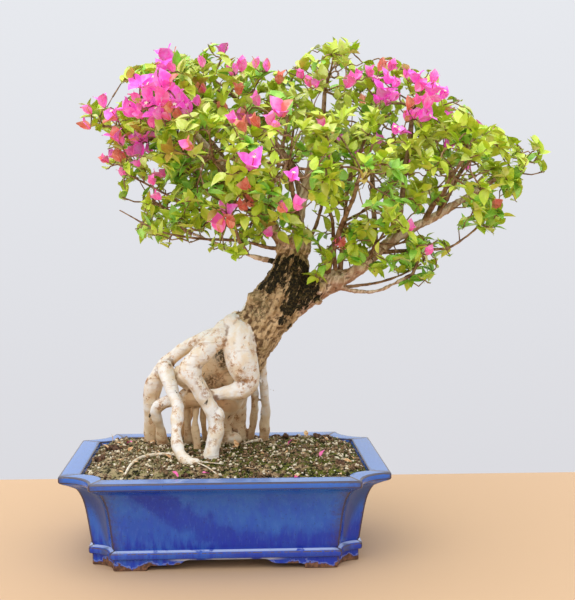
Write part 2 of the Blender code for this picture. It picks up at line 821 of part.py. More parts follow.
def leaf_mesh(root, direction, normal, length, width):
    """A leaf's corners and eight faces: flat, pointed at both ends, thickest across its middle."""
    direction = direction.normalized()
    normal = (normal - direction * normal.dot(direction)).normalized()
    across = direction.cross(normal)
    middle = root + direction * (length * LEAF_WIDEST_AT)
    corners = [
        root,
        root + direction * length,
        middle - across * (width / 2),
        middle + across * (width / 2),
        middle + normal * (LEAF_THICKNESS / 2),
        middle - normal * (LEAF_THICKNESS / 2),
    ]
    faces = []
    for side in (4, 5):
        faces += [(0, 2, side), (2, 1, side), (1, 3, side), (3, 0, side)]
    return corners, faces


def add_solid(name, corners, faces):
    """A solid from its corners and faces."""
    bm = bmesh.new()
    verts = [bm.verts.new(corner) for corner in corners]
    for face in faces:
        bm.faces.new([verts[index] for index in face])
    return add_object(name, bm)


def random_unit(chance):
    """A direction with no preference."""
    height = chance.uniform(-1, 1)
    turn = chance.uniform(0, 2 * pi)
    ring = sqrt(1 - height * height)
    return Vector((ring * cos(turn), ring * sin(turn), height))


def golden_direction(index, count):
    """One of a count of directions spread evenly over a sphere."""
    height = 1 - 2 * (index + 0.5) / count
    turn = index * pi * (3 - sqrt(5))
    ring = sqrt(1 - height * height)
    return Vector((ring * cos(turn), ring * sin(turn), height))


class Twig:
    """A straight twig between two points, and how its surface is found again."""

    def __init__(self, start, end, radius):
        self.start = start
        self.end = end
        self.radius = radius
        self.direction = (end - start).normalized()
        rings = swept_rings([Sample(start, radius), Sample(end, radius * TWIG_TAPER)], 3)
        self.corners = rings[0] + rings[1]
        self.faces = [(0, 1, 4, 3), (1, 2, 5, 4), (2, 0, 3, 5), (2, 1, 0), (3, 4, 5)]
        self.skin = BVHTree.FromPolygons(self.corners, self.faces)


class Mass:
    """A mass of foliage while it grows: its space, its twigs, and the skins of all its pieces."""

    def __init__(self, name, limbs):
        self.name = name
        self.middle = Vector(MASSES[name][0])
        self.half = Vector(MASSES[name][1])
        self.chance = random.Random(SEED + list(MASSES).index(name))
        self.limbs = limbs
        self.knots = []
        self.twigs = []
        self.skins = []
        self.pieces = []

    def fits(self, points):
        """Whether points keep to this mass's space and are clear of the limbs."""
        return all(
            in_space(point, self.name) and clear_of_limbs(point, self.limbs, LIMB_CLEARANCE)
            for point in points
        )

    def crosses(self, skin, host):
        """Whether a piece would cut a limb, or any piece but the twig it grows from."""
        if any(limb.skin.overlap(skin) for limb in self.limbs.values()):
            return True
        return any(other.overlap(skin) for owner, other in self.skins if owner is not host)

    def add_twig(self, knot, end):
        """Grow a twig from a knot to a point where there is room for it."""
        host, start, radius = knot
        twig = Twig(start, end, min(radius, TWIG_RADIUS))
        checks = [start.lerp(end, share) for share in (0.4, 0.7, 1.0)]
        if not self.fits(checks) or self.crosses(twig.skin, host):
            return False
        self.pieces.append(add_solid("twig", twig.corners, twig.faces))
        self.skins.append((twig, twig.skin))
        self.twigs.append(twig)
        self.knots.append((twig, start.lerp(end, 0.5), twig.radius * 0.9))
        self.knots.append((twig, end - twig.direction * twig.radius, twig.radius * TWIG_TAPER))
        return True

    def add_leaf(self, twig, share, side, size):
        """Set a leaf on one of a twig's three sides, where there is room for it."""
        normal = twig.direction.orthogonal().normalized()
        across = twig.direction.cross(normal)
        turn = (2 * side + 1) * pi / 3
        outward = normal * cos(turn) + across * sin(turn)
        sideways = 0.15 if share > 0.9 else 1.0
        spread = random_unit(self.chance) * LEAF_WANDER
        direction = (twig.direction * 0.7 + outward * sideways + spread).normalized()
        normal = Vector((0, -0.5, 1)) + random_unit(self.chance) * LEAF_TILT_WANDER
        sunk = twig.radius * LEAF_SUNK_SHARE
        root = twig.start.lerp(twig.end, min(share, 0.97)) - direction * sunk
        corners, faces = leaf_mesh(root, direction, normal, size[0] + sunk, size[1])
        skin = BVHTree.FromPolygons(corners, faces)
        if not self.fits(corners[1:]) or self.crosses(skin, twig):
            return False
        self.pieces.append(add_solid("leaf", corners, faces))
        self.skins.append((None, skin))
        return True


def twig_targets(mass):
    """Where a mass's twigs end: spread evenly round its middle, from the inside out."""
    targets = []
    mean_half = (mass.half.x + mass.half.y + mass.half.z) / 3
    reach = 1 - LEAF_LENGTH * LEAF_REACH / mean_half
    for index in range(TWIG_ENDS):
        direction = golden_direction(index, TWIG_ENDS)
        share = reach * (1.0 if index % 3 else TWIG_INNER_SHARE)
        offset = Vector([direction[axis] * mass.half[axis] * share for axis in range(3)])
        targets.append(mass.middle + offset + random_unit(mass.chance) * 0.004)
    targets.sort(key=lambda target: (target - mass.middle).length)
    return targets


def grow_twigs(mass):
    """Join each target to the nearest free knot of the twigs grown so far."""
    for target in twig_targets(mass):
        near = sorted(mass.knots, key=lambda knot: (knot[1] - target).length)
        for knot in near[:KNOTS_TRIED]:
            if (knot[1] - target).length > TWIG_RADIUS * 6 and mass.add_twig(knot, target):
                mass.knots.remove(knot)
                break


def grow_leaves(mass):
    """Bracts in threes on some twig ends, then leaves in turn along every twig."""
    placed = 0
    twigs = list(mass.twigs)
    mass.chance.shuffle(twigs)
    for twig in twigs[: BLOOMS.get(mass.name, 0)]:
        for bract in range(3):
            mass.add_leaf(twig, 0.85, bract, (BRACT_LENGTH, BRACT_WIDTH))
    for share, side in LEAF_PLACES:
        for twig in twigs:
            if placed < LEAVES_PER_MASS:
                scale = mass.chance.uniform(0.85, 1.1)
                size = (LEAF_LENGTH * scale, LEAF_WIDTH * scale)
                tries = (side, side + 1, side + 2)
                placed += any(mass.add_leaf(twig, share, side, size) for side in tries)


def grow_mass(name, tip_samples, limbs, material):
    """One mass of foliage: a stem that branches to spread ends, with leaves and bracts fused on."""
    mass = Mass(name, limbs)
    tip = tip_samples[-1]
    heading = (tip.centre - tip_samples[-2].centre).normalized()
    start = tip.centre + heading * CLEARANCE
    stem_radius = max(tip.radius * TWIG_TAPER, TWIG_RADIUS * 1.5)
    bend = start + heading * STEM_STRAIGHT
    bend_radius = stem_radius * TWIG_TAPER
    stem = [Sample(start, stem_radius), Sample(bend, bend_radius), Sample(mass.middle, TWIG_RADIUS)]
    base = add_limb("foliage_" + name, stem, STEM_SIDES)
    lower = Twig(start, bend, stem_radius)
    upper = Twig(bend, mass.middle, bend_radius)
    mass.skins += [(lower, lower.skin), (upper, upper.skin)]
    mass.twigs.append(upper)
    for share in (0.3, 0.6, 1.0):
        mass.knots.append((upper, bend.lerp(mass.middle, share), TWIG_RADIUS))
    grow_twigs(mass)
    grow_leaves(mass)
    fuse(base, mass.pieces, "MANIFOLD")
    base.data.materials.append(material)


def centre_on_origin():
    """Move everything so that the middle of its bounding box, from above, is over the origin."""
    items = bpy.context.scene.objects
    corners = [item.matrix_world @ vert.co for item in items for vert in item.data.vertices]
    middle_x = (min(co.x for co in corners) + max(co.x for co in corners)) / 2
    middle_y = (min(co.y for co in corners) + max(co.y for co in corners)) / 2
    for item in items:
        item.location.x -= middle_x
        item.location.y -= middle_y


def main():
    clear_scene()
    glaze = make_material("blue_glaze", (0.03, 0.10, 0.42), 0.22)
    moss = make_material("mossy_soil", (0.16, 0.15, 0.07), 0.95)
    pale_bark = make_material("pale_root_bark", (0.72, 0.62, 0.46), 0.75)
    trunk_bark = make_material("trunk_bark", (0.55, 0.44, 0.31), 0.85)
    bough_bark = make_material("bough_bark", (0.34, 0.23, 0.15), 0.80)
    leaf_green = make_material("leaf_green", (0.28, 0.46, 0.07), 0.55)
    make_pot(glaze)
    make_soil(moss)
    limbs = {}
    make_trunk(trunk_bark)
    for name, controls in TRUNK_STRETCHES.items():
        limbs["trunk_" + name] = Limb(curve_samples(controls, TRUNK_STEP), TRUNK_SIDES)
    make_roots(pale_bark, limbs)
    tips = make_boughs(bough_bark, limbs)
    for mass in MASSES:
        grow_mass(mass, tips[mass], limbs, leaf_green)
    centre_on_origin()


main()
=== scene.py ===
# %% [markdown]
# # A bougainvillea bonsai in a blue glazed pot
#
# This lesson dresses a small flowering tree. The packed model gives its plain solids, and they
# stay the frame that everything is fitted to. Each visible kind of thing gets a step of its own:
# the wood, the pot, the soil, the twigs, the leaves and the papery bracts.

# %% Load the packed frame
import json
import random
from math import cos, pi, radians, sin, sqrt

import bpy
import numpy as np
from mathutils import Matrix, Vector

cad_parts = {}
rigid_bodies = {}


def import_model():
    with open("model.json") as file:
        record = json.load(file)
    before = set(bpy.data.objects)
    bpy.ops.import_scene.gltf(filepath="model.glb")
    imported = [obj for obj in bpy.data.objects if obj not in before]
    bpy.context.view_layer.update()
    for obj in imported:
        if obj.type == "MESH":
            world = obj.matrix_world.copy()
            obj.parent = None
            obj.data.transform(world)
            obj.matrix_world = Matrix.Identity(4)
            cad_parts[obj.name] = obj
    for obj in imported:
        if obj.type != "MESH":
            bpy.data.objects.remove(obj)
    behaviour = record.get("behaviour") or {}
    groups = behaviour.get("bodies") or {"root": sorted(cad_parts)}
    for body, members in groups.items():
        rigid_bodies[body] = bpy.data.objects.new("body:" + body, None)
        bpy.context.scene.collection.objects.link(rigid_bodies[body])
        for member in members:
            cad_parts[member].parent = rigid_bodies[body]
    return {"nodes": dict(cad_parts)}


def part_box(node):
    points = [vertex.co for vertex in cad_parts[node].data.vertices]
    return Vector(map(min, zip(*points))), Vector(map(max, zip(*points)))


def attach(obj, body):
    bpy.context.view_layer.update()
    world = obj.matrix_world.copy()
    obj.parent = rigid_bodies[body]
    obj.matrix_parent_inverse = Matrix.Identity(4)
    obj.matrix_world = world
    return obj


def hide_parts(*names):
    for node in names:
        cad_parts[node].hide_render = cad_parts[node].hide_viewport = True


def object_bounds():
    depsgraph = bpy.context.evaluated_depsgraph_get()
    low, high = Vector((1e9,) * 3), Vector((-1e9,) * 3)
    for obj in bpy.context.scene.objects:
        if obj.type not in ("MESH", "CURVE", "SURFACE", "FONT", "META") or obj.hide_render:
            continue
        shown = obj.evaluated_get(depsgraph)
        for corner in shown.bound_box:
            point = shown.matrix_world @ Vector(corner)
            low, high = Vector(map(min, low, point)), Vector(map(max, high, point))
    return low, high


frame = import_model()
cad_box = [Vector(corner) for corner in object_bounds()]
bpy.ops.object.select_all(action="DESELECT")
print("CAD nodes:", len(frame["nodes"]))

# %% [markdown]
# The pot stands level, so its middle is the natural place to measure from, with the table at
# zero height. The long tables give places and radii in millimetres, and all other numbers are in
# metres.

# %% Measure from the middle of the pot
pot_low, pot_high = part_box("pot")
POT_MIDDLE = Vector(((pot_low.x + pot_high.x) / 2, (pot_low.y + pot_high.y) / 2, 0.0))


def at(x, y, z):
    """A place given from the pot's middle, as the frame has it."""
    return POT_MIDDLE + Vector((x, y, z))


def in_metres(table):
    """Places and radii in metres, from rows of a place and a radius in millimetres."""
    return [(Vector([value / 1000 for value in place]), radius / 1000) for place, radius in table]


print("pot middle:", [round(value, 4) for value in POT_MIDDLE])

# %% [markdown]
# A few small helpers keep the steps short. An operator works on whatever is selected, so one
# helper selects a single object. Another lays rows of points out as a grid primitive, which is a
# quick way to wrap a sheet round a pot or to cut a leaf.

# %% Select, apply and place
MERGE_DISTANCE = 0.00001


def only(piece):
    """Select one object and nothing else."""
    bpy.ops.object.select_all(action="DESELECT")
    piece.select_set(True)
    bpy.context.view_layer.objects.active = piece


def edit(piece, chosen="SELECT"):
    """Go into edit mode on one object, with all of its mesh selected or nothing of it."""
    only(piece)
    bpy.ops.object.mode_set(mode="EDIT")
    bpy.ops.mesh.select_all(action=chosen)


def join(pieces):
    """Join objects into the first of them."""
    only(pieces[0])
    for piece in pieces[1:]:
        piece.select_set(True)
    if len(pieces) > 1:
        bpy.ops.object.join()
    return pieces[0]


def apply_modifiers(piece):
    """Apply all the modifiers of an object in their order."""
    only(piece)
    for modifier in list(piece.modifiers):
        bpy.ops.object.modifier_apply(modifier=modifier.name)


def merge_points(piece):
    """Merge the points of a mesh that lie on each other, and turn its faces outwards."""
    edit(piece)
    bpy.ops.mesh.remove_doubles(threshold=MERGE_DISTANCE)
    bpy.ops.mesh.normals_make_consistent(inside=False)
    bpy.ops.object.mode_set(mode="OBJECT")


def sheet_from_rows(name, rows):
    """A grid primitive whose points are put where the rows say."""
    across, along = len(rows[0]), len(rows)
    bpy.ops.mesh.primitive_grid_add(x_subdivisions=across - 1, y_subdivisions=along - 1)
    sheet = bpy.context.active_object
    sheet.name = name
    sheet.data.name = name
    flat = [value for row in rows for point in row for value in point]
    sheet.data.vertices.foreach_set("co", flat)
    sheet.data.update()
    return sheet


def points_of(mesh):
    """All points of a mesh as rows of three numbers."""
    flat = np.empty(len(mesh.vertices) * 3)
    mesh.vertices.foreach_get("co", flat)
    return flat.reshape(-1, 3)


def finish_piece(piece, material, nodes=()):
    """Dress a finished piece, hang it on the root body and hide the solids that it stands for."""
    piece.data.materials.clear()
    piece.data.materials.append(material)
    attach(piece, "root")
    if nodes:
        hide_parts(*nodes)
    bpy.ops.object.select_all(action="DESELECT")
    print(piece.name, "has", sum(len(face.vertices) - 2 for face in piece.data.polygons), "triangles")


# %% [markdown]
# Materials are built from nodes, and so is the light of the sky. One helper adds a node with
# everything that goes into it, and another turns a colour of the screen into a shader's values.

# %% Add a node with what goes into it
def tone(red, green, blue):
    """A colour as a screen shows it, from 0 to 255, in the linear values that a shader reads."""
    parts = [value / 255 for value in (red, green, blue)]
    linear = [part / 12.92 if part <= 0.04045 else ((part + 0.055) / 1.055) ** 2.4 for part in parts]
    return (*linear, 1.0)


def feed(tree, socket, value):
    """Link an output to a socket, or set a plain value there."""
    if isinstance(value, bpy.types.NodeSocket):
        tree.links.new(value, socket)
    else:
        socket.default_value = value


def add_node(tree, kind, output, inputs=None, **settings):
    """Add a node with its settings and inputs, and give back one of its outputs."""
    node = tree.nodes.new(kind)
    for name, value in settings.items():
        setattr(node, name, value)
    for socket, value in (inputs or {}).items():
        feed(tree, node.inputs[socket], value)
    return node.outputs[output]


print("sample tone:", [round(value, 3) for value in tone(200, 100, 50)])

# %% [markdown]
# The class below starts a material and adds noise, masks, mixes and bumps with short calls, so
# that a finish reads as a list of what the surface shows. All patterns are measured in metres on
# Object coordinates.

# %% Build a finish with short calls
class Finish:
    """A material on its way, with short ways to add the nodes that it needs."""

    def __init__(self, name, roughness, specular):
        self.material = bpy.data.materials.new(name)
        self.material.use_nodes = True
        self.tree = self.material.node_tree
        self.shader = self.tree.nodes["Principled BSDF"]
        self.shader.inputs["Roughness"].default_value = roughness
        self.shader.inputs["Specular IOR Level"].default_value = specular
        self.place = add_node(self.tree, "ShaderNodeTexCoord", "Object")

    def stretched(self, stretch, turn=(0, 0, 0)):
        """The place with a pattern's scale changed along the axes, after a turn."""
        inputs = {"Vector": self.place, "Scale": stretch, "Rotation": turn}
        return add_node(self.tree, "ShaderNodeMapping", "Vector", inputs, vector_type="TEXTURE")

    def noise(self, size, detail, place=None, rough=0.55):
        """Soft noise whose blotches are about a size across."""
        inputs = {"Vector": place or self.place, "Scale": 1 / size, "Detail": detail, "Roughness": rough}
        return add_node(self.tree, "ShaderNodeTexNoise", "Fac", inputs)

    def cells(self, size):
        """Distances in a pattern of cells that are about a size across."""
        inputs = {"Vector": self.place, "Scale": 1 / size}
        return add_node(self.tree, "ShaderNodeTexVoronoi", "Distance", inputs)

    def attribute(self, name):
        """A value kept with each point of the mesh."""
        return add_node(self.tree, "ShaderNodeAttribute", "Fac", attribute_name=name)

    def axis(self, index):
        """One coordinate of the place."""
        return add_node(self.tree, "ShaderNodeSeparateXYZ", index, {"Vector": self.place})

    def near(self, centre, radius):
        """1 at a named spot, falling to 0 at a radius."""
        inputs = {0: self.place, 1: at(*centre)}
        gap = add_node(self.tree, "ShaderNodeVectorMath", "Value", inputs, operation="DISTANCE")
        return self.mask(gap, radius, radius * 0.4)

    def mask(self, value, low, high):
        """0 below low, 1 above high, and smooth between them."""
        inputs = {"Value": value, "From Min": low, "From Max": high}
        return add_node(self.tree, "ShaderNodeMapRange", "Result", inputs, interpolation_type="SMOOTHSTEP")

    def sum(self, first, second, operation="ADD"):
        """Two values put together."""
        return add_node(self.tree, "ShaderNodeMath", 0, {0: first, 1: second}, operation=operation)

    def times(self, first, *others):
        """Some values multiplied with each other."""
        for other in others:
            first = self.sum(first, other, "MULTIPLY")
        return first

    def band(self, value, rise, fall):
        """1 between two soft borders, each given by where it starts and where it is full."""
        return self.times(self.mask(value, *rise), self.mask(value, *fall))

    def mix(self, share, first, second):
        """The second colour over the first, by a share."""
        inputs = {0: share, 6: first, 7: second}
        return add_node(self.tree, "ShaderNodeMix", 2, inputs, data_type="RGBA")

    def lay(self, colour, tint, *shares):
        """A tint over a colour, as strongly as its shares allow together."""
        return self.mix(self.times(*shares), colour, tint)

    def bump(self, height, depth):
        """Relief too fine for the mesh, with its depth in metres."""
        inputs = {"Height": height, "Distance": depth}
        normal = add_node(self.tree, "ShaderNodeBump", "Normal", inputs)
        feed(self.tree, self.shader.inputs["Normal"], normal)

    def done(self, colour, roughness=None):
        """Set the colour, and a patterned roughness where there is one."""
        feed(self.tree, self.shader.inputs["Base Color"], colour)
        if roughness is not None:
            feed(self.tree, self.shader.inputs["Roughness"], roughness)
        return self.material


print("short calls:", [name for name in vars(Finish) if not name.startswith("_")])

# %% [markdown]
# ## The wood
#
# The trunk leans to the right and stands on a cage of thick roots that were lifted out of the
# soil. Each stretch is one limb: a few points with the radius at each. The table repeats the
# ones that the solids were swept from, so the wood stays where the solids are.

# %% The limbs of the trunk and the roots
SOIL_TOP = 0.126
TRUNK_LIMBS = {
    "leader": [
        ((30, 42, 240), 22), ((42, 32, 285), 34), ((61, 25, 320), 34.5), ((80, 20, 349), 31),
        ((90, 20, 378), 25.5), ((92, 20, 405), 19.5), ((94, 21, 420), 13),
    ],
    "shoulder": [
        ((66, 23, 312), 29), ((101, 20, 338), 24), ((136, 15, 356), 18.5), ((155, 12, 361), 15.5),
    ],
    "back_leg": [((28, 45, 240), 18), ((18, 64, 190), 12), ((16, 90, 120), 13.5)],
}
PALE_LIMBS = {
    "thigh": [
        ((26, 26, 310), 19), ((19, 9, 280), 24), ((21, -1, 250), 22.5), ((31, -3, 226), 16),
        ((20, -6, 212), 12.8), ((-4, -6, 208), 9.6), ((-26, -10, 206), 7.8),
    ],
    "shin": [((28, 10, 220), 15.5), ((13, 30, 196), 12), ((-1, 48, 166), 11), ((-4, 66, 120), 13.5)],
    "inner_mass": [
        ((22, 42, 268), 22), ((-14, 42, 240), 24), ((-45, 40, 226), 20.5), ((-71, 38, 227), 13),
    ],
    "root_left_arch": [
        ((6, 34, 292), 14), ((-34, 36, 277), 9.5), ((-64, 44, 259), 9.2), ((-88, 53, 235), 11.2),
        ((-104, 62, 201), 12.2), ((-108, 82, 120), 9.2),
    ],
    "root_elbow": [
        ((3, 16, 297), 14), ((-23, -6, 271), 13.8), ((-49, -15, 244), 13.5), ((-42, -17, 226), 12.2),
        ((-24, -17, 198), 11.2), ((-14, -19, 172), 10.6), ((-17, -26, 144), 10.8),
        ((-23, -34, 118), 11.4),
    ],
    "root_front_left": [
        ((-86, 40, 243), 11), ((-77, 12, 218), 10.4), ((-66, -8, 193), 8.8), ((-66, -30, 161), 7.8),
        ((-62, -48, 139), 8.2), ((-51, -62, 127), 8.4), ((-40, -68, 119), 7),
    ],
    "root_hook": [
        ((-6, 44, 188), 11), ((-28, 38, 194), 12.5), ((-54, 37, 193), 12), ((-84, 38, 189), 8.5),
        ((-98, 40, 177), 7.7), ((-93, 48, 151), 7.8), ((-91, 62, 120), 8),
    ],
    "root_slim": [
        ((45, 34, 268), 11), ((51, 40, 228), 7.2), ((55, 55, 188), 6.4), ((55, 82, 120), 7.5),
    ],
    "root_rough": [((30, 46, 232), 7), ((41, 60, 190), 5.7), ((34, 92, 120), 5.5)],
    "root_bulb": [((-54, 40, 192), 5.5), ((-55, 55, 152), 6), ((-52, 70, 120), 9)],
    "root_inner": [((-33, 42, 194), 5.2), ((-33, 60, 160), 4.3), ((-30, 84, 120), 5)],
    "inner_low": [((22, 46, 250), 16), ((-10, 50, 224), 15), ((-42, 48, 206), 11), ((-62, 46, 196), 7)],
    "inner_root_a": [((-12, 52, 212), 8), ((-18, 46, 168), 6.2), ((-20, 44, 118), 7.2)],
    "inner_root_b": [((-40, 48, 206), 6.5), ((-43, 32, 164), 5.2), ((-40, 22, 118), 6)],
    "inner_root_c": [((-60, 46, 196), 6), ((-71, 50, 158), 5), ((-72, 40, 118), 5.6)],
    "inner_root_d": [((8, 58, 206), 7.5), ((6, 78, 160), 6), ((-12, 86, 118), 6.5)],
    "inner_root_e": [((-24, 60, 206), 5.5), ((-50, 78, 166), 5), ((-74, 84, 118), 5.8)],
    "rootlet": [((40, 38, 224), 2.2), ((57, 30, 209), 1.3), ((71, 22, 206), 0.9)],
}
MAIN_BOUGHS = {
    "bough_right": [
        ((150, 12, 360), 13), ((178, 9, 373), 10.4), ((212, 6, 403), 8.2), ((247, 6, 427), 7.2),
        ((292, 9, 450), 6.2), ((348, 15, 484), 4.2),
    ],
    "bough_left": [
        ((86, 20, 398), 10), ((50, 4, 452), 7.6), ((0, -28, 510), 5.6), ((-40, -50, 556), 4),
    ],
    "bough_top": [
        ((95, 20, 400), 9.5), ((104, 14, 462), 7.4), ((120, 18, 530), 5.4), ((131, 20, 572), 4.2),
    ],
    "bough_low_left": [((80, 18, 382), 4), ((24, 6, 397), 3), ((-44, 4, 424), 2.2)],
    "bough_low_right": [
        ((140, 6, 354), 4), ((176, -2, 346), 3), ((208, -4, 347), 2.6), ((244, -6, 364), 2.1),
    ],
}
print("limbs:", len(TRUNK_LIMBS) + len(PALE_LIMBS) + len(MAIN_BOUGHS))

# %% [markdown]
# A few points with radii are enough for a limb, because a smooth curve can go through them. The
# curve is sampled every few millimetres, and a curve object with a round bevel sweeps it.

# %% A smooth path through the points of a limb
def smooth_path(controls, step):
    """Samples about a step apart on a smooth curve through points with radii."""
    points = [Vector(point) for point, radius in controls]
    radii = [radius for point, radius in controls]
    path = []
    for index in range(len(points) - 1):
        before, start = points[max(index - 1, 0)], points[index]
        end, after = points[index + 1], points[min(index + 2, len(points) - 1)]
        count = max(1, round((end - start).length / step))
        for part in range(count):
            t = part / count
            centre = (
                start * (2 * t ** 3 - 3 * t ** 2 + 1)
                + (end - before) / 2 * (t ** 3 - 2 * t ** 2 + t)
                + end * (3 * t ** 2 - 2 * t ** 3)
                + (after - start) / 2 * (t ** 3 - t ** 2)
            )
            ease = t * t * (3 - 2 * t)
            path.append((centre, radii[index] * (1 - ease) + radii[index + 1] * ease))
    path.append((points[-1], radii[-1]))
    return path


def sweep(name, paths, roundness):
    """Tubes along paths: one curve with a spline for each, thick as its radii say, made a mesh."""
    curve = bpy.data.curves.new(name, "CURVE")
    curve.dimensions = "3D"
    curve.bevel_depth = 1.0
    curve.bevel_resolution = roundness
    curve.use_fill_caps = True
    for path in paths:
        spline = curve.splines.new("POLY")
        spline.points.add(len(path) - 1)
        places = [at(*point) for point, radius in path]
        spline.points.foreach_set("co", [value for place in places for value in (*place, 1.0)])
        spline.points.foreach_set("radius", [radius for point, radius in path])
    tubes = bpy.data.objects.new(name, curve)
    bpy.context.collection.objects.link(tubes)
    only(tubes)
    bpy.ops.object.convert(target="MESH")
    return bpy.context.active_object


LIMB_STEP = 0.004
limb_paths = {}
for table in (TRUNK_LIMBS, PALE_LIMBS, MAIN_BOUGHS):
    for limb, controls in table.items():
        limb_paths[limb] = smooth_path(in_metres(controls), LIMB_STEP)
print("samples along the limbs:", sum(len(path) for path in limb_paths.values()))

# %% [markdown]
# The bark differs from point to point, so the next helpers work on all points of a mesh at once:
# they read where the points are and which way they face, and find how deep each one lies.

# %% Read and mark the points of a mesh
def point_normals(mesh):
    """The directions in which the points of a mesh face."""
    flat = np.empty(len(mesh.vertices) * 3)
    mesh.vertices.foreach_get("normal", flat)
    return flat.reshape(-1, 3)


def distances(points, centre):
    """How far each of the points is from a place."""
    return np.linalg.norm(points - np.array(centre), axis=1)


def hollows(mesh, rounds, depth):
    """A number for each point: 1 where it lies a depth or more below its surroundings."""
    points = points_of(mesh)
    edges = np.empty(len(mesh.edges) * 2, np.int64)
    mesh.edges.foreach_get("vertices", edges)
    edges = edges.reshape(-1, 2)
    neighbours = np.bincount(edges.ravel(), minlength=len(points))
    softened = points.copy()
    for step in range(rounds):
        total = np.zeros_like(points)
        for axis in range(3):
            total[:, axis] = np.bincount(edges[:, 0], softened[edges[:, 1], axis], len(points))
            total[:, axis] += np.bincount(edges[:, 1], softened[edges[:, 0], axis], len(points))
        softened = total / neighbours[:, None]
    return np.clip(((softened - points) * point_normals(mesh)).sum(axis=1) / depth, -1, 1)


def point_group(piece, name, values):
    """A vertex group with a weight for each point, for a modifier to read."""
    group = piece.vertex_groups.new(name=name)
    for level in range(1, 11):
        chosen = np.nonzero(np.round(values * 10) == level)[0]
        group.add(chosen.tolist(), level / 10, "REPLACE")
    return group.name


print("longest limb:", max(limb_paths, key=lambda limb: len(limb_paths[limb])))

# %% [markdown]
# Old wood isn't a bundle of pipes: it swells at its joints, and pruned twigs leave stubs and
# knobs. Balls are put in at those places, everything is joined, and a voxel remesh melts it
# into one skin. That is why the wood is one mesh and not a mesh for each limb.

# %% Melt the limbs and knobs into one skin
VOXEL = 0.0017
KNOBS = [
    ((90, 14, 410), (18.5, 17, 13)), ((106, 18, 402), (12, 13, 12)), ((112, 20, 418), (6.5, 7.5, 13)),
    ((76, 12, 402), (8.5, 8.5, 9)), ((41, 6, 335), (12.5, 12, 10.5)), ((125, -2, 332), (6, 5, 5)),
    ((150, 8, 360), (16, 14, 12)), ((182, 6, 376), (12, 10.5, 9.5)), ((204, 5, 396), (9.5, 9, 8.5)),
    ((10, 12, 300), (15, 14, 15)), ((-47, -16, 238), (14.5, 13, 15)),
    ((-88, 44, 234), (11.5, 12.5, 13.5)), ((-40, -66, 128), (7.5, 7, 5.5)),
    ((51, 36, 262), (11, 10, 15)), ((-12, -18, 180), (11.2, 10.8, 13)), ((6, 60, 132), (15, 14, 11)),
    ((-16, 34, 218), (20, 12, 11)), ((6, 30, 222), (16, 12, 12)), ((129, -4, 350), (6, 6, 8.5)),
]
wood = sweep("wood", limb_paths.values(), 3)
knobs = []
for centre, size in np.array(KNOBS) / 1000:
    bpy.ops.mesh.primitive_ico_sphere_add(subdivisions=3, location=at(*centre), scale=size)
    knobs.append(bpy.context.active_object)
join([wood] + knobs)
remesh = wood.modifiers.new("one skin", "REMESH")
remesh.mode = "VOXEL"
remesh.voxel_size = VOXEL
remesh.use_smooth_shade = True
apply_modifiers(wood)


def soften(piece, rounds, group=None):
    """Smooth a mesh, or only a part of it."""
    smooth = piece.modifiers.new("smooth", "SMOOTH")
    smooth.factor = 0.5
    smooth.iterations = rounds
    if group:
        smooth.vertex_group = group
    apply_modifiers(piece)


soften(wood, 5)
creases = point_group(wood, "creases", np.clip(hollows(wood.data, 12, 0.0016), 0, 1))
soften(wood, 16, creases)
print("wood skin:", len(wood.data.vertices), "points")

# %% [markdown]
# The bark differs from place to place. The roots are pale and smooth, the trunk is tan and
# furrowed, the boughs are brown, and dark moss grows on the upper trunk. Each point gets a
# number from 0 to 1 for each of these, from how near it lies to the limbs or to named spots.
# The relief and the colours both read these numbers, so they always agree.

# %% Where each kind of bark grows
MOSS_SPOTS = [
    ((84, 0, 379), 11), ((93, -2, 386), 11), ((84, -6, 366), 17), ((104, -3, 366), 19),
    ((113, 0, 346), 17), ((92, -8, 350), 17), ((62, 0, 352), 10), ((104, -4, 328), 13),
    ((86, -8, 324), 13), ((78, -8, 304), 10), ((88, 4, 296), 7), ((94, 44, 372), 20),
    ((72, 48, 345), 18), ((70, 4, 382), 13), ((62, 6, 369), 12), ((52, 8, 356), 10),
    ((66, 30, 372), 12),
]
TAN_SPOTS = [((33, 6, 315), 19), ((18, 10, 322), 10)]


def ramp(values, low, high):
    """0 at low, 1 at high and smooth between them, for a whole array."""
    share = np.clip((values - low) / (high - low), 0, 1)
    return share * share * (3 - 2 * share)


def gap_to(points, paths):
    """How far each point lies outside the nearest of some limbs."""
    nearest = np.full(len(points), 1.0)
    for path in paths:
        for centre, radius in path:
            np.minimum(nearest, distances(points, centre) - radius, out=nearest)
    return nearest


def keep_numbers(mesh, name, values):
    """Store a number for each point of a mesh, for its material to read."""
    attribute = mesh.attributes.new(name, "FLOAT", "POINT")
    attribute.data.foreach_set("value", np.ascontiguousarray(values, np.float32))


wood_points = points_of(wood.data) - np.array(POT_MIDDLE)
to_trunk, to_pale, to_bough = (
    gap_to(wood_points, [limb_paths[limb] for limb in table])
    for table in (TRUNK_LIMBS, PALE_LIMBS, MAIN_BOUGHS)
)
pale = ramp(to_trunk - to_pale, -0.0015, 0.0025)
pale = np.maximum(pale, ramp(-wood_points[:, 2], -0.222, -0.2))
for centre, radius in in_metres(TAN_SPOTS):
    pale *= ramp(distances(wood_points, centre), radius * 0.6, radius)
bough = ramp(np.minimum(to_trunk, to_pale) - to_bough, -0.003, 0.005)
bough = np.maximum(bough, ramp(wood_points[:, 0], 0.112, 0.15) * (1 - pale))
bough = np.maximum(bough, ramp(wood_points[:, 2], 0.392, 0.412) * (1 - pale))
facing_down = ramp(-point_normals(wood.data)[:, 2], 0.15, 0.55)
bough = np.maximum(bough, ramp(wood_points[:, 0], 0.085, 0.112) * facing_down * (1 - pale))
moss = np.zeros(len(wood_points))
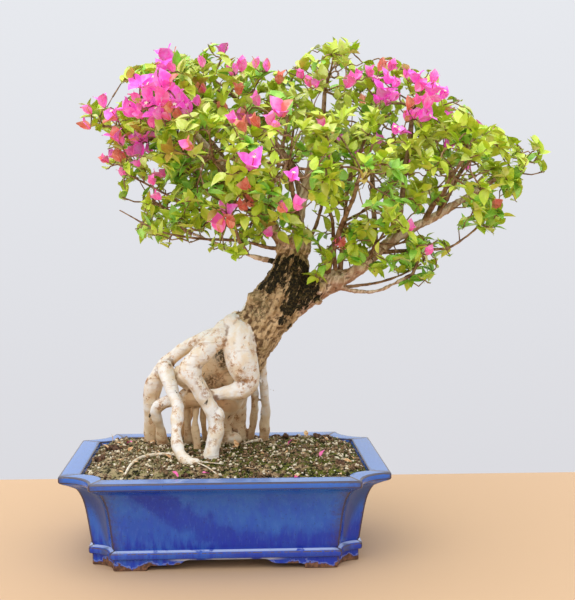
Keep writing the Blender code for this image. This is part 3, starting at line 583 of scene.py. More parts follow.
for centre, radius in in_metres(MOSS_SPOTS):
    moss = np.maximum(moss, 1 - ramp(distances(wood_points, centre), radius * 0.75, radius * 1.35))
moss *= 1 - pale
print("points on pale bark:", int(pale.sum()), "under moss:", int(moss.sum()))

# %% [markdown]
# Relief is pushed into the mesh with Displace modifiers. Cloud textures give soft lumps, and a
# texture that is squeezed across the trunk gives furrows that run along it. An empty that is
# turned to the trunk's lean carries the squeeze while the modifier is applied.

# %% Push the bark's relief into the skin
def cloud(name, size, depth):
    """A cloud texture for the relief."""
    texture = bpy.data.textures.new(name, "CLOUDS")
    texture.noise_scale = size
    texture.noise_depth = depth
    return texture


def raise_relief(piece, texture, height, group=None, guide=None, middle=0.5):
    """Move the points along their normals by a texture."""
    relief = piece.modifiers.new(texture.name, "DISPLACE")
    relief.texture = texture
    relief.strength = height
    relief.mid_level = middle
    if group:
        relief.vertex_group = group
    if guide:
        relief.texture_coords = "OBJECT"
        relief.texture_coords_object = guide
    else:
        relief.texture_coords = "LOCAL"


TRUNK_LEAN = Vector((0.055, -0.015, 0.14))
FURROW_STRETCH = 9.0
lean = TRUNK_LEAN.to_track_quat("Z", "Y").to_euler()
bpy.ops.object.empty_add(location=at(0.06, 0.02, 0.33), rotation=lean, scale=(1.0, 1.0, FURROW_STRETCH))
along_trunk = bpy.context.active_object
rough_bark = point_group(wood, "rough bark", np.clip(1 - pale - bough * 0.55, 0, 1))
mossy = point_group(wood, "moss relief", moss)
old_wood = point_group(wood, "old wood", np.clip(bough, 0, 1))
raise_relief(wood, cloud("swellings", 0.026, 1), 0.005)
raise_relief(wood, cloud("dents", 0.011, 2), 0.0016)
raise_relief(wood, cloud("furrows", 0.0075, 3), 0.006, rough_bark, along_trunk, 0.55)
raise_relief(wood, cloud("wrinkles", 0.0045, 3), 0.0018, old_wood)
raise_relief(wood, cloud("moss cushions", 0.005, 4), 0.006, mossy, None, 0.4)
apply_modifiers(wood)
bpy.data.objects.remove(along_trunk)
print("relief is in the mesh of", wood.name)

# %% [markdown]
# The difference between the skin and a smoothed copy of it shows how deep each point lies. That
# number darkens the cracks and the wide hollows between the limbs, partly as dirt and partly as
# painted shade.

# %% Find the hollows, and where a warmer shade is painted
# Spots where the root bark gets a painted, warmer shade.
WARM_SHADE_SPOTS = [
    (2, 24, 224), (4, 30, 190), (-14, 30, 222), (-22, 32, 194), (-45, 34, 193),
]
SHADED_ROOTS = {"root_bulb": 0.86, "root_inner": 0.86, "inner_mass": 0.62, "inner_low": 0.62}
fine_hollows = hollows(wood.data, 4, 0.0005)
wide_hollows = hollows(wood.data, 40, 0.004)
downward = -point_normals(wood.data)[:, 2]
# A painted, warmer shade on faces that look down, towards the back, on the roots deep inside and at a few
# spots; lower down the same tint is partly the bark's own tan.
warm = ramp(-wood_points[:, 2], -0.2, -0.13) * 0.36 + ramp(wood_points[:, 1], 0.015, 0.055) * 0.16
warm += ramp(downward, -0.15, 0.7) * 0.55
for limb in PALE_LIMBS:
    shade = 0.86 if limb.startswith("inner_root_") else SHADED_ROOTS.get(limb, 0.0)
    if shade:
        warm = np.maximum(warm, ramp(-gap_to(wood_points, [limb_paths[limb]]), -0.01, -0.002) * shade)
for centre in np.array(WARM_SHADE_SPOTS) / 1000:
    warm = np.maximum(warm, 0.92 * ramp(-distances(wood_points, centre), -0.019, -0.013))
# Partly reddish staining and partly painted shade: the faces of the right boughs that look down.
under = ramp(downward, 0.05, 0.5) * ramp(wood_points[:, 0], 0.08, 0.11)
marks = {"pale": pale, "bough": bough, "moss": moss, "fine_hollow": fine_hollows}
marks.update({"wide_hollow": wide_hollows, "warm": warm, "under": under})
for name, values in marks.items():
    keep_numbers(wood.data, name, values)
print("deep points:", int((wide_hollows > 0.5).sum()))

# %% [markdown]
# The finish of the wood lays one bark over another: tan furrowed bark, then cream root bark
# with flakes and specks, then brown bough bark, then moss that is nearly black. Noise breaks
# each border up, because no real border between two barks is a clean line.

# %% The finish of the bark
FLAKED = [
    (-32, -28, 227), (-25, -28, 214), (-12, -30, 183), (-19, -40, 149), (-16, -36, 167),
    (-60, -36, 182), (-67, -56, 155), (-81, 22, 262), (-68, 30, 275), (-96, 36, 238), (-111, 46, 220),
    (21, -16, 228), (31, -10, 221), (-51, 24, 297), (-92, 40, 206),
]
# Patches on the bark: some are its own olive stains, and the darkest, in the gaps behind the thigh, are
# painted shade.
STAINS_AND_SHADE = [
    ((44, -6, 322), 22, 0.8, (104, 96, 62)), ((54, 0, 258), 18, 0.6, (112, 106, 58)),
    ((-8, 18, 262), 18, 0.95, (66, 60, 36)), ((-30, 30, 252), 12, 0.6, (110, 92, 60)),
    ((-2, 18, 246), 13, 0.95, (84, 68, 42)), ((-20, 26, 222), 15, 0.85, (104, 72, 44)),
    ((20, 10, 306), 14, 0.6, (120, 104, 72)),
]


def root_colour(bark, blotch, wide):
    """Cream root bark with a painted shade that makes it warmer, partly its own tan, and brown flakes, rings
    and specks.
    """
    colour = bark.mix(bark.mask(blotch, 0.42, 0.66), tone(240, 238, 232), tone(235, 221, 197))
    warmth = bark.sum(bark.attribute("warm"), bark.times(bark.sum(wide, -0.5), 0.8))
    # The painted, warmer shade, laid in two steps.
    colour = bark.lay(colour, tone(226, 200, 160), bark.mask(warmth, 0.15, 0.75))
    colour = bark.lay(colour, tone(206, 160, 114), bark.mask(warmth, 0.75, 1.1))
    peel = bark.noise(0.01, 7.0, None, 0.78)
    halo = bark.times(bark.mask(peel, 0.5, 0.56), bark.mask(wide, 0.46, 0.56))
    colour = bark.lay(colour, tone(226, 188, 146), halo, 0.55)
    peeling = bark.mask(bark.sum(wide, bark.times(bark.attribute("warm"), 0.06)), 0.5, 0.58)
    colour = bark.lay(colour, tone(166, 122, 82), bark.mask(peel, 0.555, 0.6), peeling, 0.8)
    for centre in np.array(FLAKED) / 1000:
        flake = bark.times(bark.near(centre, 0.0125), bark.mask(peel, 0.455, 0.535))
        colour = bark.lay(colour, tone(164, 118, 76), flake, 0.8)
    rings = bark.noise(0.0045, 3.0, bark.stretched((5.0, 5.0, 0.8)))
    colour = bark.lay(colour, tone(176, 136, 98), bark.mask(rings, 0.6, 0.68), 0.35)
    specks = bark.mask(bark.cells(0.0105), 0.1, 0.05)
    return bark.lay(colour, tone(132, 98, 68), specks, bark.mask(blotch, 0.52, 0.6), 0.8)


def bough_colour(bark, blotch, grain):
    """Brown bough bark: reddish where it is blotched, and darker underneath, partly as reddish staining and
    partly as painted shade.
    """
    colour = bark.mix(bark.mask(grain, 0.36, 0.64), tone(190, 158, 130), tone(246, 226, 204))
    colour = bark.lay(colour, tone(182, 134, 108), bark.mask(blotch, 0.54, 0.66), 0.7)
    shaded = bark.times(bark.attribute("under"), bark.mask(blotch, 0.36, 0.52))
    return bark.lay(colour, tone(158, 112, 82), shaded, 0.7)


def bark_finish():
    """All the barks, laid over each other."""
    bark = Finish("weathered_bark", 0.8, 0.25)
    fine, blotch, wide = bark.noise(0.003, 4.0), bark.noise(0.014, 4.0), bark.noise(0.04, 2.0)
    lean_place = bark.stretched((1.0, 1.0, 7.0), (0.0, radians(22), 0.0))
    grain = bark.noise(0.0045, 3.0, lean_place)
    colour = bark.mix(bark.mask(grain, 0.34, 0.64), tone(150, 122, 82), tone(218, 190, 148))
    colour = bark.lay(colour, tone(130, 108, 74), bark.mask(blotch, 0.5, 0.66), 0.65)
    pale_share = bark.mask(bark.sum(bark.attribute("pale"), bark.times(fine, 0.3)), 0.5, 0.8)
    colour = bark.mix(pale_share, colour, root_colour(bark, blotch, wide))
    # The stains, and the painted shade in the gaps behind the thigh.
    for centre, radius, share, patch_tone in STAINS_AND_SHADE:
        spot = bark.near(np.array(centre) / 1000, radius / 1000)
        colour = bark.lay(colour, tone(*patch_tone), spot, bark.mask(fine, 0.36, 0.58), share)
    bough_share = bark.mask(bark.sum(bark.attribute("bough"), bark.times(blotch, 0.5)), 0.6, 0.95)
    colour = bark.mix(bough_share, colour, bough_colour(bark, blotch, grain))
    # Fine cracks darken, partly as dirt and partly as painted shade.
    crack_dirt_and_shade = bark.mix(bark.attribute("pale"), tone(78, 56, 34), tone(136, 98, 62))
    colour = bark.lay(colour, crack_dirt_and_shade, bark.mask(bark.attribute("fine_hollow"), 0.08, 0.65), 0.65)
    # Painted shade, with a little dirt: the wide hollows between the limbs darken.
    deep = bark.mix(pale_share, tone(96, 70, 46), tone(122, 82, 48))
    colour = bark.lay(colour, deep, bark.mask(bark.attribute("wide_hollow"), 0.08, 0.6), 0.85)
    ragged = bark.sum(bark.noise(0.008, 5.0, lean_place, 0.68), -0.5)
    moss_share = bark.sum(bark.times(bark.attribute("moss"), 0.72), bark.times(ragged, 3.0))
    moss_tone = bark.mix(bark.mask(fine, 0.45, 0.68), tone(30, 27, 16), tone(84, 72, 40))
    colour = bark.lay(colour, moss_tone, bark.mask(moss_share, 0.42, 0.56))
    bark.bump(bark.sum(fine, bark.times(grain, 0.5)), 0.0007)
    return bark.done(colour)


wood_nodes = [node for node in frame["nodes"] if node == "trunk" or node.startswith(("root_", "bough_"))]
wood.data.shade_smooth()
finish_piece(wood, bark_finish(), wood_nodes)

# %% [markdown]
# ## The pot
#
# The pot is slip-cast stoneware: a rectangle with hollowed corners, a flat overhanging rim, a
# wall that flares out under it, a belt near the foot and four feet. A glazed pot has no sharp
# edge anywhere, so the profile has small round steps at each edge, and the corners of every
# level are rounded too.

# %% One level of the pot
POT_WIDTH, POT_DEPTH = 0.42, 0.312
RIM_BAND, RIM_NOTCH = 0.027, 0.043
BODY_TOP, BODY_FOOT = 0.1034, 0.0285
SIDE_INSET, FRONT_INSET, TOP_INSET = 0.0367, 0.043, 0.0205
FOOT_NOTCH, TOP_NOTCH = 0.03, 0.0335
ARC_STEPS, SIDE_STEPS = 6, 7
CORNER_ROUND = 0.0026
CORNER_SHARPNESS = (0.4, 1.0, 0.4)


def pot_outline(half_x, half_y, notch):
    """A rectangle whose corners are hollowed by quarter circles, each point with its sharpness."""
    points = []
    quarters = ((1, -1, 180, 90), (1, 1, 270, 180), (-1, 1, 360, 270), (-1, -1, 90, 0))
    for sign_x, sign_y, first, last in quarters:
        centre = Vector((sign_x * half_x, sign_y * half_y))
        arc = []
        for step in range(ARC_STEPS + 1):
            angle = radians(first + (last - first) * step / ARC_STEPS)
            arc.append(centre + Vector((cos(angle), sin(angle))) * notch)
        corners = []
        for end, inner in ((0, 1), (-1, -2)):
            corner = arc[end]
            away = (centre - corner).normalized()
            along = (arc[inner] - corner).normalized()
            rounded = [corner - away * CORNER_ROUND, corner + (along - away) * 0.25 * CORNER_ROUND]
            corners.append(rounded + [corner + along * CORNER_ROUND])
        points += zip(corners[0], CORNER_SHARPNESS)
        points += [(point, 0.0) for point in arc[1:-1]]
        points += zip(reversed(corners[1]), CORNER_SHARPNESS)
    full = []
    corner_size = len(points) // len(quarters)
    for index, (point, sharp) in enumerate(points):
        full.append((point, sharp))
        if index % corner_size == corner_size - 1:
            after = points[(index + 1) % len(points)][0]
            for step in range(1, SIDE_STEPS):
                full.append((point.lerp(after, step / SIDE_STEPS), 0.0))
    return full


print("points in a level:", len(pot_outline(0.2, 0.15, 0.04)))

# %% [markdown]
# A level is the outline at one height. It says how far it stands in from the rim on the sides and
# on the front, how large its hollowed corners are, and how sharp its edge is, since the glaze is
# thin on sharp edges. The levels go up the outside, over the rim and down inside to the soil.

# %% The levels from the foot to the rim and down inside
def wall_inset(height, extra=0.0):
    """How far the wall stands in from the rim, on the sides and the front."""
    share = (height - BODY_FOOT) / (BODY_TOP - BODY_FOOT)
    out = 0.62 * share + 0.38 * share ** 6
    side = SIDE_INSET - (SIDE_INSET - TOP_INSET) * out
    front = FRONT_INSET - (FRONT_INSET - TOP_INSET) * out
    return side + extra, front + extra


def wall_notch(height):
    """The size of the hollowed corner at a height on the wall."""
    share = (height - BODY_FOOT) / (BODY_TOP - BODY_FOOT)
    return FOOT_NOTCH + (TOP_NOTCH - FOOT_NOTCH) * share


FOOT_LEVELS = [
    (-14, 13.6, 0), (-14, 0.6, 0), (-13.4, 0, 0), (-0.8, 0, 0), (0, 0.8, 0), (0, 12.2, 0), (0.2, 14, 0),
    (1.4, 14.8, 0.6), (3.4, 15.6, 0.4), (4.2, 17.5, 0), (4.3, 21, 0), (4, 23.4, 0.2), (2.8, 24.6, 0.2),
    (0.2, 25.2, 0), (-0.8, 26.2, 0),
]
RIM_LEVELS = [
    (15, 8, 106.8, 0), (9.5, 5.5, 109.4, 0), (4.5, 3, 111.4, 0), (1.6, 1, 112.7, 0), (0.4, 0, 113.8, 0.7),
    (0, 0, 114.8, 0.3), (0, 0, 116.5, 0), (0, 0, 119.5, 0.2), (0.5, 0, 121, 0.9), (1.6, 0, 121.8, 0.9),
    (3.4, 0, 122, 0.1), (12, 5, 122, 0), (22.5, 11, 122, 0), (25.2, 12.5, 121.8, 0.4),
    (26.6, 13.5, 121, 0.9), (27, 14, 119.5, 0.3),
]
INNER_HEIGHTS = (0.11, 0.1, 0.078, 0.052, 0.034)
levels = []
for out, height, sharp in FOOT_LEVELS:
    side, front = SIDE_INSET + 0.001 - out / 1000, FRONT_INSET + 0.001 - out / 1000
    levels.append((side, front, FOOT_NOTCH, height / 1000, sharp))
WALL_STEPS = 14
for step in range(WALL_STEPS + 1):
    height = BODY_FOOT + (BODY_TOP - BODY_FOOT) * step / WALL_STEPS
    levels.append((*wall_inset(height), wall_notch(height), height, 0.0))
for inset, smaller, height, sharp in RIM_LEVELS:
    levels.append((inset / 1000, inset / 1000, RIM_NOTCH - smaller / 1000, height / 1000, sharp))
for height in INNER_HEIGHTS:
    wall_height = min(height, BODY_TOP)
    levels.append((*wall_inset(wall_height, 0.01), wall_notch(wall_height), height, 0.0))
levels.append((*wall_inset(BODY_FOOT, 0.016), FOOT_NOTCH, 0.024, 0.0))
print("levels:", len(levels))

# %% [markdown]
# The levels become the rows of one sheet that is wrapped round and closed. The feet are what is
# left after two long cutters have run under the pot, one from front to back and one from side
# to side. Their outline has the small step that the real feet show.

# %% Wrap the pot and cut its feet free
thin_glaze = []
rows = []
for side_inset, front_inset, notch, height, sharp in levels:
    ring = pot_outline(POT_WIDTH / 2 - side_inset, POT_DEPTH / 2 - front_inset, notch)
    ring.append(ring[0])
    rows.append([at(point.x, point.y, height) for point, corner in ring])
    corner_share = 1.0 if height > 0.026 or sharp else 0.6
    thin_glaze += [max(sharp, corner * corner_share) for point, corner in ring]
pot = sheet_from_rows("glazed_pot", rows)
keep_numbers(pot.data, "thin_glaze", np.array(thin_glaze))
merge_points(pot)
edit(pot, "DESELECT")
bpy.ops.mesh.select_non_manifold(extend=False)
bpy.ops.mesh.edge_face_add()
bpy.ops.mesh.select_all(action="DESELECT")
bpy.ops.object.mode_set(mode="OBJECT")
APRON_STEP = [(0, -6), (0, 3), (1.5, 5.2), (5, 6.4)]
GAP_STEP = [(-9, 7), (-4, 7.8), (-1, 9.8), (2, 12), (7, 13)]


def foot_gap(name, gap, apron, along_y):
    """The space between two feet as a long bar to cut with."""
    outline = [(x / 1000 - apron, height / 1000) for x, height in APRON_STEP]
    outline += [(x / 1000 - gap, height / 1000) for x, height in GAP_STEP]
    outline += [(-across, height) for across, height in reversed(outline)]
    bpy.ops.mesh.primitive_circle_add(vertices=len(outline), fill_type="NGON")
    bar = bpy.context.active_object
    bar.name = name
    for vert, (across, height) in zip(bar.data.vertices, outline):
        vert.co = at(across, -0.3, height) if along_y else at(-0.4, across, height)
    edit(bar)
    reach = (0, 0.6, 0) if along_y else (0.8, 0, 0)
    bpy.ops.mesh.extrude_region_move(TRANSFORM_OT_translate={"value": reach})
    bpy.ops.mesh.select_all(action="SELECT")
    bpy.ops.mesh.normals_make_consistent(inside=False)
    bpy.ops.object.mode_set(mode="OBJECT")
    return bar


FOOT_GAPS = (("front_gap", 0.055, 0.1, True), ("side_gap", 0.03, 0.058, False))
for name, gap, apron, along_y in FOOT_GAPS:
    bar = foot_gap(name, gap, apron, along_y)
    cut = pot.modifiers.new(name, "BOOLEAN")
    cut.object = bar
    cut.operation = "DIFFERENCE"
    apply_modifiers(pot)
    bpy.data.objects.remove(bar)
only(pot)
bpy.ops.object.shade_smooth_by_angle(angle=radians(38))
print("pot faces:", len(pot.data.polygons))

# %% [markdown]
# The glaze is a deep cobalt that ran down in fine streaks. It pooled darker in a band that falls
# across the wall from the upper left and spreads along the foot. It is thin on every edge, where
# the brown clay shows through as a line, and it stops in a ragged drip above the bare clay of
# the feet. Masks on the height place all of this, and a number kept at each point tells the edges.

# %% The finish of the glaze
STREAK_STRETCH = (1.0, 1.0, 7.0)


def wall_colour(glaze, height, across, streaks, mottle):
    """The blue of the walls: cloudy, streaked and specked, and darker where the glaze pooled."""
    clouds = glaze.noise(0.06, 3.0, glaze.stretched((1.4, 1.0, 0.8), (0.0, radians(32), 0.0)))
    cloud_share = glaze.times(glaze.mask(clouds, 0.4, 0.66), 0.45)
    blue = glaze.mix(cloud_share, tone(47, 107, 204), tone(10, 50, 184))
    ragged = glaze.noise(0.018, 5.0, glaze.stretched((1.0, 1.0, 1.6)), 0.6)
    ragged_height = glaze.sum(height, glaze.times(glaze.sum(ragged, -0.5), 0.055))
    slope = glaze.sum(ragged_height, glaze.times(across, 0.62))
    pool = glaze.sum(glaze.mask(slope, 0.066, 0.048), glaze.mask(ragged_height, 0.062, 0.038), "MAXIMUM")
    blue = glaze.lay(blue, tone(8, 42, 174), pool, glaze.mask(slope, 0.01, 0.03), 0.72)
    blue = glaze.lay(blue, tone(28, 72, 206), glaze.mask(streaks, 0.42, 0.66), 0.35)
    fine_streaks = glaze.noise(0.0022, 3.0, glaze.stretched(STREAK_STRETCH))
    blue = glaze.lay(blue, tone(84, 130, 220), glaze.mask(fine_streaks, 0.54, 0.72), 0.28)
    blue = glaze.lay(blue, tone(28, 34, 92), glaze.mask(mottle, 0.6, 0.72), 0.35)
    low = glaze.mask(height, 0.06, 0.026)
    return glaze.lay(blue, tone(14, 48, 178), low, glaze.mask(streaks, 0.34, 0.7))


def trim_colour(glaze, blue, height, across, mottle):
    """Painted reflection on the rim, painted highlights and patchy glaze on the belt, painted shade in the
    corners, and a brown line under the ledge.
    """
    wear_and_glint = glaze.noise(0.02, 4.0)
    aside = glaze.sum(across, 0.0, "ABSOLUTE")
    forward = glaze.sum(glaze.sum(glaze.axis(1), -POT_MIDDLE.y), 0.0, "ABSOLUTE")
    # Painted reflection: the top of the rim is paler.
    blue = glaze.lay(blue, tone(104, 142, 202), glaze.mask(height, 0.1195, 0.1214), 0.8)
    belt = glaze.band(height, (0.014, 0.016), (0.0262, 0.0248))
    patchy = glaze.sum(0.15, glaze.times(glaze.mask(wear_and_glint, 0.36, 0.64), 0.35))
    blue = glaze.lay(blue, tone(58, 92, 186), belt, patchy)
    # Painted highlight along the top of the ledge, broken by the noise.
    ledge = glaze.band(height, (0.0236, 0.0246), (0.0262, 0.0254))
    blue = glaze.lay(blue, tone(186, 204, 240), ledge, glaze.mask(wear_and_glint, 0.3, 0.42))
    under_ledge = glaze.band(height, (0.0216, 0.0222), (0.0234, 0.0228))
    blue = glaze.lay(blue, tone(92, 74, 66), under_ledge, glaze.mask(mottle, 0.36, 0.5))
    # Painted highlight: a pale line on the middle of the front foot.
    bottom_line = glaze.band(height, (0.0152, 0.0142), (0.0112, 0.0122))
    middle = glaze.mask(aside, 0.08, 0.05)
    blue = glaze.lay(blue, tone(196, 202, 220), bottom_line, middle, glaze.mask(wear_and_glint, 0.36, 0.5))
    # Painted shade in the hollowed corners, under the rim.
    notch = glaze.times(glaze.mask(aside, 0.1475, 0.1525), glaze.mask(forward, 0.089, 0.094))
    blue = glaze.lay(blue, tone(58, 70, 98), notch, glaze.mask(height, 0.11, 0.1), 0.62)
    rim_band = glaze.band(height, (0.1128, 0.1142), (0.1206, 0.119))
    return glaze.lay(blue, tone(52, 104, 190), rim_band, 0.7)


def glaze_finish():
    """The blue with its thin edges and dots, down to the ragged lip above the bare clay."""
    glaze = Finish("cobalt_glaze", 0.16, 0.55)
    height = glaze.axis(2)
    across = glaze.sum(glaze.axis(0), -POT_MIDDLE.x)
    streaks = glaze.noise(0.006, 4.0, glaze.stretched(STREAK_STRETCH))
    mottle = glaze.noise(0.004, 4.0)
    blue = wall_colour(glaze, height, across, streaks, mottle)
    blue = trim_colour(glaze, blue, height, across, mottle)
    edge = glaze.sum(glaze.attribute("thin_glaze"), glaze.times(mottle, 0.35))
    blue = glaze.lay(blue, tone(72, 58, 58), glaze.mask(edge, 0.4, 0.78), 0.92)
    dots = glaze.mask(glaze.cells(0.005), 0.115, 0.06)
    blue = glaze.lay(blue, tone(24, 26, 60), dots, glaze.mask(mottle, 0.46, 0.54))
    drip = glaze.sum(height, glaze.times(glaze.sum(glaze.noise(0.014, 4.0), -0.5), 0.034))
    bare = glaze.mask(drip, 0.0062, 0.0056)
    clay = glaze.mix(glaze.mask(mottle, 0.4, 0.62), tone(86, 56, 40), tone(136, 94, 66))
    colour = glaze.mix(bare, blue, clay)
    lip = glaze.band(drip, (0.0062, 0.007), (0.009, 0.0074))
    colour = glaze.lay(colour, tone(150, 168, 222), lip, 0.5)
    glaze.bump(glaze.sum(glaze.times(streaks, 0.5), glaze.times(mottle, 0.5)), 0.00035)
    return glaze.done(colour, glaze.sum(0.14, glaze.times(bare, 0.65)))


finish_piece(pot, glaze_finish(), ["pot"])

# %% [markdown]
# ## The soil
#
# The pot is full to just over the rim. The top is a quilt of dark moss, pale grit and bits of
# dry bark. A fine grid follows the mounded surface, clouds raise its cushions, and the loose
# things are modelled once each and then strewn.

# %% The mossy ground
SOIL_EDGE, SOIL_SLOPE = 0.1165, 0.04
GROUND_STEP = 0.0024
GROUND_WIDTH, GROUND_DEPTH = POT_WIDTH - 2 * RIM_BAND, POT_DEPTH - 2 * RIM_BAND


def soil_height(x, y):
    """The soil's surface: level where the roots stand, and lower along the pot's walls."""
    to_side = POT_WIDTH / 2 - RIM_BAND - abs(x)
    to_front = POT_DEPTH / 2 - RIM_BAND - abs(y)
    share = min(max(min(to_side, to_front) / SOIL_SLOPE, 0.0), 1.0)
    return SOIL_EDGE + (SOIL_TOP - SOIL_EDGE) * share * share * (3 - 2 * share)


def inside_rim(x, y, margin):
    """Whether a place on the ground lies inside the rim's hollowed corners."""
    half_x, half_y = POT_WIDTH / 2 - RIM_BAND - margin, POT_DEPTH / 2 - RIM_BAND - margin
    if abs(x) > half_x or abs(y) > half_y:
        return False
    return Vector((half_x - abs(x), half_y - abs(y))).length > RIM_NOTCH - 0.014


def on_ground(x, y, lift=0.0):
    """A place on the ground, or a little above it."""
    return at(x, y, soil_height(x, y) + lift)


across, along = round(GROUND_WIDTH / GROUND_STEP), round(GROUND_DEPTH / GROUND_STEP)
columns = [(column / across - 0.5) * GROUND_WIDTH for column in range(across + 1)]
rows = [[on_ground(x, (row / along - 0.5) * GROUND_DEPTH) for x in columns] for row in range(along + 1)]
ground = sheet_from_rows("mossy_ground", rows)
ground_points = points_of(ground.data) - np.array(POT_MIDDLE)
outside = [not inside_rim(x, y, -0.001) for x, y, z in ground_points]
edit(ground, "DESELECT")
bpy.ops.object.mode_set(mode="OBJECT")
for vert, gone in zip(ground.data.vertices, outside):
    vert.select = gone
bpy.ops.object.mode_set(mode="EDIT")
bpy.ops.mesh.delete(type="VERT")
bpy.ops.object.mode_set(mode="OBJECT")
raise_relief(ground, cloud("cushions", 0.016, 2), 0.004)
raise_relief(ground, cloud("tufts", 0.0045, 3), 0.0034)
apply_modifiers(ground)
wall = ground.modifiers.new("depth", "SOLIDIFY")
wall.thickness = 0.01
wall.offset = -1
apply_modifiers(ground)
ground.data.shade_smooth()
print("ground faces:", len(ground.data.polygons))

# %% [markdown]
# From a step away the ground is a mottle: moss from nearly black to olive, earth from dark to tan,
# and specks of grit. It is drier towards the left, so a pale brown comes in there. The strewn
# things of the next steps then give it its coarse grain.

# %% The finish of the ground
def ground_finish():
    """Moss and earth by patches, with grit, and drier towards the left."""
    soil = Finish("moss_and_grit", 0.95, 0.15)
    fine = soil.noise(0.0022, 4.0, None, 0.7)
    clump = soil.noise(0.007, 4.0, None, 0.65)
    moss = soil.mix(soil.mask(clump, 0.42, 0.6), tone(26, 26, 10), tone(106, 110, 42))
    earth = soil.mix(soil.mask(clump, 0.42, 0.58), tone(50, 38, 26), tone(170, 142, 108))
    colour = soil.mix(soil.mask(soil.noise(0.022, 3.0), 0.47, 0.6), moss, earth)
    grit = soil.mask(soil.cells(0.0032), 0.3, 0.18)
    colour = soil.lay(colour, tone(206, 190, 152), grit, soil.mask(fine, 0.46, 0.56))
    dry = soil.mask(soil.sum(soil.axis(0), -POT_MIDDLE.x), -0.03, -0.11)
    colour = soil.lay(colour, tone(188, 166, 132), dry, soil.mask(clump, 0.4, 0.6), 0.65)
    soil.bump(fine, 0.0012)
    return soil.done(colour)


finish_piece(ground, ground_finish(), ["soil"])

# %% [markdown]
# Strewn things share one method: model the thing once with few faces, then copy its points to
# many places with their own turn and size, and join the copies into one mesh.

# %% Copy one small shape to many places
SEED = 41
GOLDEN = pi * (3 - sqrt(5))
UP = Vector((0, 0, 1))
chance = random.Random(SEED)


def pattern_of(piece):
    """Keep the mesh of a small modelled shape, and remove its object."""
    pattern = piece.data
    pattern.use_fake_user = True
    bpy.data.objects.remove(piece)
    return pattern


def strew(name, pattern, frames):
    """One mesh of many copies: each frame is a 4 x 4 matrix that places the pattern."""
    points = points_of(pattern)
    turns = np.array([[list(row)[:3] for row in matrix[:3]] for matrix in frames])
    shifts = np.array([list(matrix.translation) for matrix in frames])
    placed = np.einsum("nij,pj->npi", turns, points) + shifts[:, None, :]
    piece = bpy.data.objects.new(name, pattern.copy())
    bpy.context.collection.objects.link(piece)
    piece.data.name = name
    copies = piece.modifiers.new("copies", "ARRAY")
    copies.count = len(frames)
    apply_modifiers(piece)
    piece.data.vertices.foreach_set("co", placed.ravel())
    piece.data.update()
    piece.data.shade_smooth()
    return piece


def random_unit():
    """A direction with no preference."""
    height = chance.uniform(-1, 1)
    turn = chance.uniform(0, 2 * pi)
    ring = sqrt(1 - height * height)
    return Vector((ring * cos(turn), ring * sin(turn), height))


def frame_at(place, ahead, up, size):
    """A matrix that puts a pattern's Y axis ahead and its Z axis up, at a size."""
    ahead = ahead.normalized()
    up = (up - ahead * up.dot(ahead)).normalized()
    side = ahead.cross(up)
    turn = Matrix((side, ahead, up)).transposed().to_4x4()
    return Matrix.Translation(place) @ turn @ Matrix.Diagonal((size[0], size[1], size[2], 1.0))


print("first draw:", round(chance.random(), 4))

# %% [markdown]
# Grit and crumbs are one rough stone at many sizes, and a tuft of moss is seven short blades. Each
# kind is a mesh of its own, so that it can have its own tones.

# %% Grit, crumbs of bark and moss tufts
def stone_pattern(bumps):
    """A twelve-cornered crumb whose corners are moved a little."""
    bpy.ops.mesh.primitive_ico_sphere_add(subdivisions=1, radius=0.5)
    stone = bpy.context.active_object
    for vert in stone.data.vertices:
        vert.co *= chance.uniform(1 - bumps, 1 + bumps)
    return pattern_of(stone)


def tuft_pattern():
    """Seven short blades that lean out from one point."""
    bpy.ops.mesh.primitive_circle_add(vertices=3, fill_type="NGON")
    blade = bpy.context.active_object
    for vert, place in zip(blade.data.vertices, ((-0.09, 0, 0), (0.09, 0, 0), (0, 0.35, 1.0))):
        vert.co = place
    frames = []
    for number in range(7):
        size = Matrix.Diagonal((1.0, 0.7 + 0.3 * (number % 3), 1.0 - 0.1 * (number % 4), 1.0))
        frames.append(Matrix.Rotation(number * GOLDEN, 4, "Z") @ size)
    return pattern_of(strew("tuft", pattern_of(blade), frames))


def ground_places(count, margin):
    """Random places on the ground, clear of the rim."""
    places = []
    while len(places) < count:
        x = chance.uniform(-0.5, 0.5) * GROUND_WIDTH
        y = chance.uniform(-0.5, 0.5) * GROUND_DEPTH
        if inside_rim(x, y, margin):
            places.append((x, y))
    return places


def strewn_frames(count, margin, small, large, flat, lift):
    """Frames for crumbs that lie on the ground, each with its own size and turn."""
    frames = []
    for x, y in ground_places(count, margin):
        size = chance.uniform(small, large)
        place = on_ground(x, y, size * lift + chance.uniform(-0.0006, 0.0012))
        up = (UP + random_unit() * 0.5).normalized()
        ahead = random_unit()
        frames.append(frame_at(place, ahead, up, (size, size * chance.uniform(0.8, 1.5), size * flat)))
    return frames


def plain_finish(name, first, second, size, roughness, bump=0.0003):
    """A quiet finish of two tones with a fine relief."""
    finish = Finish(name, roughness, 0.3)
    grain = finish.noise(size, 4.0)
    finish.bump(grain, bump)
    return finish.done(finish.mix(finish.mask(grain, 0.36, 0.64), first, second))


